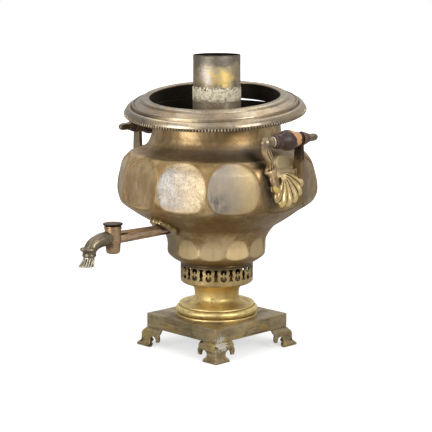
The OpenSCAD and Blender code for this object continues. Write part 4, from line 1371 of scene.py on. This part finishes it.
def palmette(side, sizes):
    """A scalloped leaf on the belly: a smooth round boss, and ribs that bend down from where the arm comes in."""
    shift = HANDLE_Y * SIDES[side]
    per, back, round_boss = 16, 24, 48
    ribs = sizes.lobes * per
    low, high = math.radians(LEAF_REACH[0][0]), math.radians(LEAF_REACH[-1][0])
    hub, boss = (-9.0 + shift, 264.0), (2.0 + shift, 277.0)

    def rib_spot(rho, k):
        if k <= ribs:
            phi = low + (high - low) * k / ribs
            w = 2 * ((k % per) / per) - 1
            crown = 1 - (1 - (1 - w * w) ** 0.6) * ease(rho, 0.08, 0.32)
            out = rho * (1 - 0.1 * abs(w) ** 2.2)
            size = leaf_length(phi)
            bent = phi + 0.5 * (1 - min(1.0, out)) * ease(out, 0, 0.3)
            h = 1.8 + 2.8 * ease(rho, 0.02, 0.3) * crown + 1.9 * bell(rho, 0.86, 0.15) * crown
            h += 2.3 * bell(rho, 0.0, 0.35)
        else:
            turn = (k - ribs) / back
            bent = high + (2 * math.pi - high + low) * turn
            out = rho
            size = (9 + (leaf_length(high) - 9) * (1 - ease(turn, 0, 0.25))
                    + (leaf_length(low) - 9) * ease(turn, 0.8, 1.0))
            h = 2.4 + 1.0 * (1 - rho)
        h *= dome(rho ** 9) * 0.94 + 0.06
        return hub[0] + size * out * math.sin(bent), hub[1] - size * out * math.cos(bent), h

    def boss_spot(rho, k):
        a = 2 * math.pi * k / round_boss
        h = 1.5 + 2.2 * dome((0.9 * rho) ** 4) - 2.0 * ease(rho, 0.86, 1.0)
        return boss[0] - 15.0 * rho * math.sin(a), boss[1] - 14.5 * rho * math.cos(a), h

    obj = join("palmette_" + side, [
        leaf_patch("palmette_ribs_" + side, side, hub, rib_spot, ribs + back, 30),
        leaf_patch("palmette_boss_" + side, side, boss, boss_spot, round_boss, 12,
                   Vector((1, -0.04 * SIDES[side], 0.22)))], 60)
    mark_points(obj, "tip", lambda x, y, z: 1 - ease(z, 219, 229))
    mark_points(obj, "boss", lambda x, y, z: ease(z, 260, 265))
    settle(obj, "samovar", "aged_brass", "leaf", "leaf_" + side)


def squarish(t, power):
    """Cosine and sine of an angle, pushed out toward a square's corners."""
    return [math.copysign(abs(v) ** power, v) for v in (math.cos(t), math.sin(t))]


def ribbed_arm(side):
    """The ball at the rod's end, and the arm that bends from it down to a knuckle and a sheath on the leaf."""
    place = Matrix.Translation((0, HANDLE_Y, 0)) @ half_turn(side)
    line = even_line(smooth_line([(-45.6, 312), (-45.0, 304), (-41.5, 296), (-36.0, 288), (-30.0, 280), (-26.0, 271),
                                  (-24.0, 261), (-21.5, 250), (-18.5, 239)], 6), 1.5)
    path = []
    for y, z in line:
        x = GRIP_X - 0.4
        on = belly_point(y + SIDES[side] * HANDLE_Y, min(z, 285.0)).x + 4.0
        path.append(place @ Vector((x + (on - x) * ease(-z, -288, -268), y, z)))
    ups = [place.to_3x3() @ Vector((1, 0, 0))] * len(path)

    def section(i):
        z = line[i][1]
        upper = ease(-z, -298, -282)
        wide = 6.3 - 1.3 * upper + (4.6 + 2.0 * ease(z, 266, 272)) * bell(z, 269.0, 5.0) + 2.2 * ease(-z, -264, -258)
        wide += 0.9 * bell(z, 245.5, 3.0) - 1.6 * ease(-z, -256, -246)
        deep = 5.6 - 0.9 * upper + 1.7 * bell(z, 268.5, 3.6)
        end = math.sqrt(max(0.02, 1 - (max(0.0, 244.0 - z) / 5.2) ** 2))
        ribs = ease(z, 270, 276) * (1 - ease(z, 296, 304))
        out = []
        for a in around(48):
            u, v = squarish(a, 0.85)
            s = math.sin(a)
            u, v = u * wide * end, v * deep * end
            if s > 0.05:
                v += 0.6 * ribs * math.cos(3 * math.pi * u / wide) * ease(s, 0.05, 0.5)
            out.append((u, v + 0.35 * math.sin(z * 1.9) * bell(z, 256, 6) * max(0.0, s)))
        return out

    def on_rod(name, outline, y, turn, closed):
        stand = Matrix.Translation((GRIP_X, y, GRIP_Z)) @ Matrix.Rotation(turn, 4, "X")
        return turned(name + side, outline, 48, place @ stand, closed=closed)

    arm = swept("arm_run_" + side, path, section, ups, 50)
    globe = [(7.4 * math.sin(math.radians(t)) + 0.5 * bell(t, 92, 7), 7.4 * math.cos(math.radians(t)))
             for t in range(14, 168, 7)]
    ball = on_rod("arm_ball_", [(0.02, 7.7), (1.4, 7.5)] + globe + [(0.02, -7.4)], -45, math.pi / 2, False)
    neck = on_rod("arm_neck_", [(0.1, -39.5), (5.4, -39.5), (5.8, -37.5), (5.4, -36.0), (5.9, -34.5), (6.2, -33.2),
                                (5.9, -32.0), (0.1, -31.9)], 0, -math.pi / 2, True)
    obj = join("ribbed_arm_" + side, [arm, ball, neck], 50)
    roughen(obj, 0.1, 7, 4)
    settle(obj, "samovar", "aged_brass", "arm", "ball_arm_" + side)


def arm_foot(side):
    """The rounded block by which the flat arm stands on the belly."""
    hub = (27.0 + HANDLE_Y * SIDES[side], 263.0)
    cols = 40

    def spot(rho, k):
        c, s = squarish(2 * math.pi * k / cols, 0.7)
        u, v = -10.0 * rho * s, -11.5 * rho * c
        return hub[0] + 0.9 * u - 0.35 * v, hub[1] + 0.35 * u + 0.9 * v, 6.5 * dome(rho ** 3) + 0.1

    return leaf_patch("arm_foot_" + side, side, hub, spot, cols, 14)


def handle_pieces(sizes):
    for side in SIDES:
        palmette(side, sizes)
        ribbed_arm(side)
        # the right flat arm gets the shaded copy, the left one the lit copy: painted light and shade
        arm = "arm_dark" if side == "right" else "arm_lit"
        for node, slot, material in (("flat_arm_", "dark_brass", arm), ("rod_", "dull_brass", "rod"),
                                     ("washer_", "solder", "washer"), ("end_collar_", "dark_wood", "wood")):
            obj = cad_copy(node + side + "_skin", node + side, 0.5, 2, 4)
            if node == "flat_arm_":
                obj = join("flat_arm_" + side + "_skin", [obj, arm_foot(side)], 50)
            roughen(obj, 0.08, 7, 5)
            settle(obj, "samovar", slot, material, node + side)
        obj = cad_copy("grip_" + side + "_skin", "grip_" + side, 0.3, 2, 3)
        settle(obj, "grip_" + side[0], "dark_wood", "grip_" + side, "grip_" + side)


def kept_nodes():
    """Finishes for the nodes of the frame that are shown as they are."""
    for node, material in (("fire_tube", "fire_tube"), ("grate", "iron"), ("gallery", "gallery")):
        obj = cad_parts[node]
        if not obj.data.materials:
            obj.data.materials.append(MATERIALS[material])
        for slot in obj.material_slots:
            slot.material = MATERIALS[material]


# ---- stage


def light(name, power, turn, up, size, out, right):
    """A lamp that shines on the samovar from so many degrees round from the camera, and up."""
    lamp = bpy.data.lights.new(name, "AREA")
    lamp.shape = "RECTANGLE"
    lamp.size = size
    lamp.size_y = size * 1.3
    lamp.energy = power
    obj = new_object(name, lamp)
    t, e = math.radians(turn), math.radians(up)
    way = (out * math.cos(t) + right * math.sin(t)) * math.cos(e) + Vector((0, 0, math.sin(e)))
    obj.location = way * 1.7 + Vector((0, 0, 0.25))
    obj.rotation_euler = (-way).to_track_quat("-Z", "Y").to_euler()


def room(st, out, right):
    """Surroundings that the metal mirrors: white to the camera, plain on dull surfaces."""
    world = bpy.data.worlds.new("room")
    t = empty_tree(world)
    way = add(t, "ShaderNodeTexCoord", out="Generated")
    ahead, side = (vector("DOT_PRODUCT", way, tuple(v), out="Value") for v in (out, right))
    aside = calc("ABSOLUTE", side)
    wings = span(aside, 0.12, 0.25) * span(aside, 0.5, 0.36) * 1.5 + 0.26
    level = (span(ahead, -0.6, 0.05, st.back_world, st.front_world) + span(side, 0.35, 1.0, 0, st.side_world)
             + span(part(way, "Z"), 0.35, 0.85, 0, st.top_world) * wings)
    mirrored = made("ShaderNodeCombineXYZ", {0: level, 1: level, 2: level})
    color = mix(add(t, "ShaderNodeLightPath", out="Is Glossy Ray"), grey(st.plain_world), mirrored)
    color = mix(add(t, "ShaderNodeLightPath", out="Is Camera Ray"), color, grey(1.0))
    add(t, "ShaderNodeOutputWorld", {0: made("ShaderNodeBackground", {"Color": color, "Strength": 1.0})})
    return world


def pale_floor(st):
    mesh = bpy.data.meshes.new("floor")
    with edited(mesh) as bm:
        bmesh.ops.create_circle(bm, cap_ends=True, radius=9.0, segments=96)
    mat = bpy.data.materials.new("pale_floor")
    t = empty_tree(mat)
    away = vector("LENGTH", add(t, "ShaderNodeTexCoord", out="Object"), out="Value")
    seen = add(t, "ShaderNodeLightPath", out="Is Camera Ray")
    glow = made("ShaderNodeEmission", {"Strength": seen * span(away, 0.35, 1.3, st.floor_lift, 1.0)})
    dull = add(t, "ShaderNodeBsdfDiffuse", {"Color": grey(st.floor)})
    add(t, "ShaderNodeOutputMaterial", {0: made("ShaderNodeAddShader", {0: dull, 1: glow})})
    mesh.materials.append(mat)
    floor = new_object("floor", mesh)
    floor.location.z = -0.0002
    return floor


def stage(st):
    scene = bpy.context.scene
    out = Vector((math.sin(st.azimuth), -math.cos(st.azimuth), 0))
    right = Vector((math.cos(st.azimuth), math.sin(st.azimuth), 0))
    lens = bpy.data.cameras.new("camera")
    lens.lens = st.lens
    lens.sensor_width = 36
    lens.clip_end = 60
    lens.shift_x = -0.79 / 432
    scene.camera = new_object("camera", lens)
    scene.camera.location = out * st.distance + Vector((0, 0, st.height))
    scene.camera.rotation_euler = (math.pi / 2 - st.pitch, 0, st.azimuth)
    light("left_light", st.left_light, -45, 10, 0.85, out, right)
    light("right_light", st.right_light, 42, 22, 0.5, out, right)
    scene.world = room(st, out, right)
    pale_floor(st)
    scene.view_settings.view_transform = "Standard"


# ---- operators: one for each group of pieces, and one for the stage


class Build:
    """What the operators share: each one's build makes its pieces."""

    def execute(self, context):
        self.build(context.scene)
        return {"FINISHED"}


class SAMOVAR_OT_finishes(Build, bpy.types.Operator):
    """Makes the metals, the wood and the solder"""
    bl_idname = "samovar.finishes"
    bl_label = "Finishes"

    def build(self, scene):
        make_materials(scene.samovar_finishes)


class SAMOVAR_OT_body(Build, bpy.types.Operator):
    """Builds the faceted body"""
    bl_idname = "samovar.body"
    bl_label = "Body"

    def build(self, scene):
        body_skin(scene.samovar_sizes)


class SAMOVAR_OT_chimney(Build, bpy.types.Operator):
    """Builds the chimney and its crusty solder band"""
    bl_idname = "samovar.chimney"
    bl_label = "Chimney"

    def build(self, scene):
        chimney_tube()
        solder_band()


class SAMOVAR_OT_ring(Build, bpy.types.Operator):
    """Builds the loose top ring and its beaded edge"""
    bl_idname = "samovar.ring"
    bl_label = "Top ring"

    def build(self, scene):
        ring_skin()
        bead_ring(scene.samovar_sizes)


class SAMOVAR_OT_base(Build, bpy.types.Operator):
    """Builds the stem, its flange, the plinth and the feet"""
    bl_idname = "samovar.base"
    bl_label = "Base"

    def build(self, scene):
        stem_turning()
        flange_turning()
        plinth_block()
        feet()


class SAMOVAR_OT_tap(Build, bpy.types.Operator):
    """Builds the tap, from its plate to its nozzle"""
    bl_idname = "samovar.tap"
    bl_label = "Tap"

    def build(self, scene):
        tap_pieces(scene.samovar_sizes)


class SAMOVAR_OT_handles(Build, bpy.types.Operator):
    """Builds both handles with their brackets"""
    bl_idname = "samovar.handles"
    bl_label = "Handles"

    def build(self, scene):
        handle_pieces(scene.samovar_sizes)


class SAMOVAR_OT_frame(Build, bpy.types.Operator):
    """Gives the frame's own visible nodes their finishes"""
    bl_idname = "samovar.frame"
    bl_label = "Kept nodes"

    def build(self, scene):
        kept_nodes()


class SAMOVAR_OT_stage(Build, bpy.types.Operator):
    """Sets the floor, the lights and the camera"""
    bl_idname = "samovar.stage"
    bl_label = "Stage"

    def build(self, scene):
        stage(scene.samovar_stage)


class SAMOVAR_PT_panel(bpy.types.Panel):
    """Lists what the samovar is built from"""
    bl_label = "Samovar"
    bl_idname = "SAMOVAR_PT_panel"
    bl_space_type = "VIEW_3D"
    bl_region_type = "UI"
    bl_category = "Samovar"

    def draw(self, context):
        for step in STEPS:
            self.layout.operator("samovar." + step)
        for group in (context.scene.samovar_sizes, context.scene.samovar_stage, context.scene.samovar_finishes):
            box = self.layout.box()
            for key in group.__annotations__:
                box.prop(group, key)


STEPS = ("finishes", "body", "chimney", "ring", "base", "tap", "handles", "frame", "stage")
CLASSES = (SamovarFinishes, SamovarSizes, SamovarStage, SAMOVAR_OT_finishes, SAMOVAR_OT_body, SAMOVAR_OT_chimney,
           SAMOVAR_OT_ring, SAMOVAR_OT_base, SAMOVAR_OT_tap, SAMOVAR_OT_handles, SAMOVAR_OT_frame,
           SAMOVAR_OT_stage, SAMOVAR_PT_panel)


def register():
    for cls in CLASSES:
        bpy.utils.register_class(cls)
    bpy.types.Scene.samovar_finishes = bpy.props.PointerProperty(type=SamovarFinishes)
    bpy.types.Scene.samovar_sizes = bpy.props.PointerProperty(type=SamovarSizes)
    bpy.types.Scene.samovar_stage = bpy.props.PointerProperty(type=SamovarStage)


def unregister():
    for key in ("samovar_finishes", "samovar_sizes", "samovar_stage"):
        delattr(bpy.types.Scene, key)
    for cls in reversed(CLASSES):
        bpy.utils.unregister_class(cls)


def main():
    register()
    for step in STEPS:
        getattr(bpy.ops.samovar, step)()


if __name__ == "__main__":
    main()
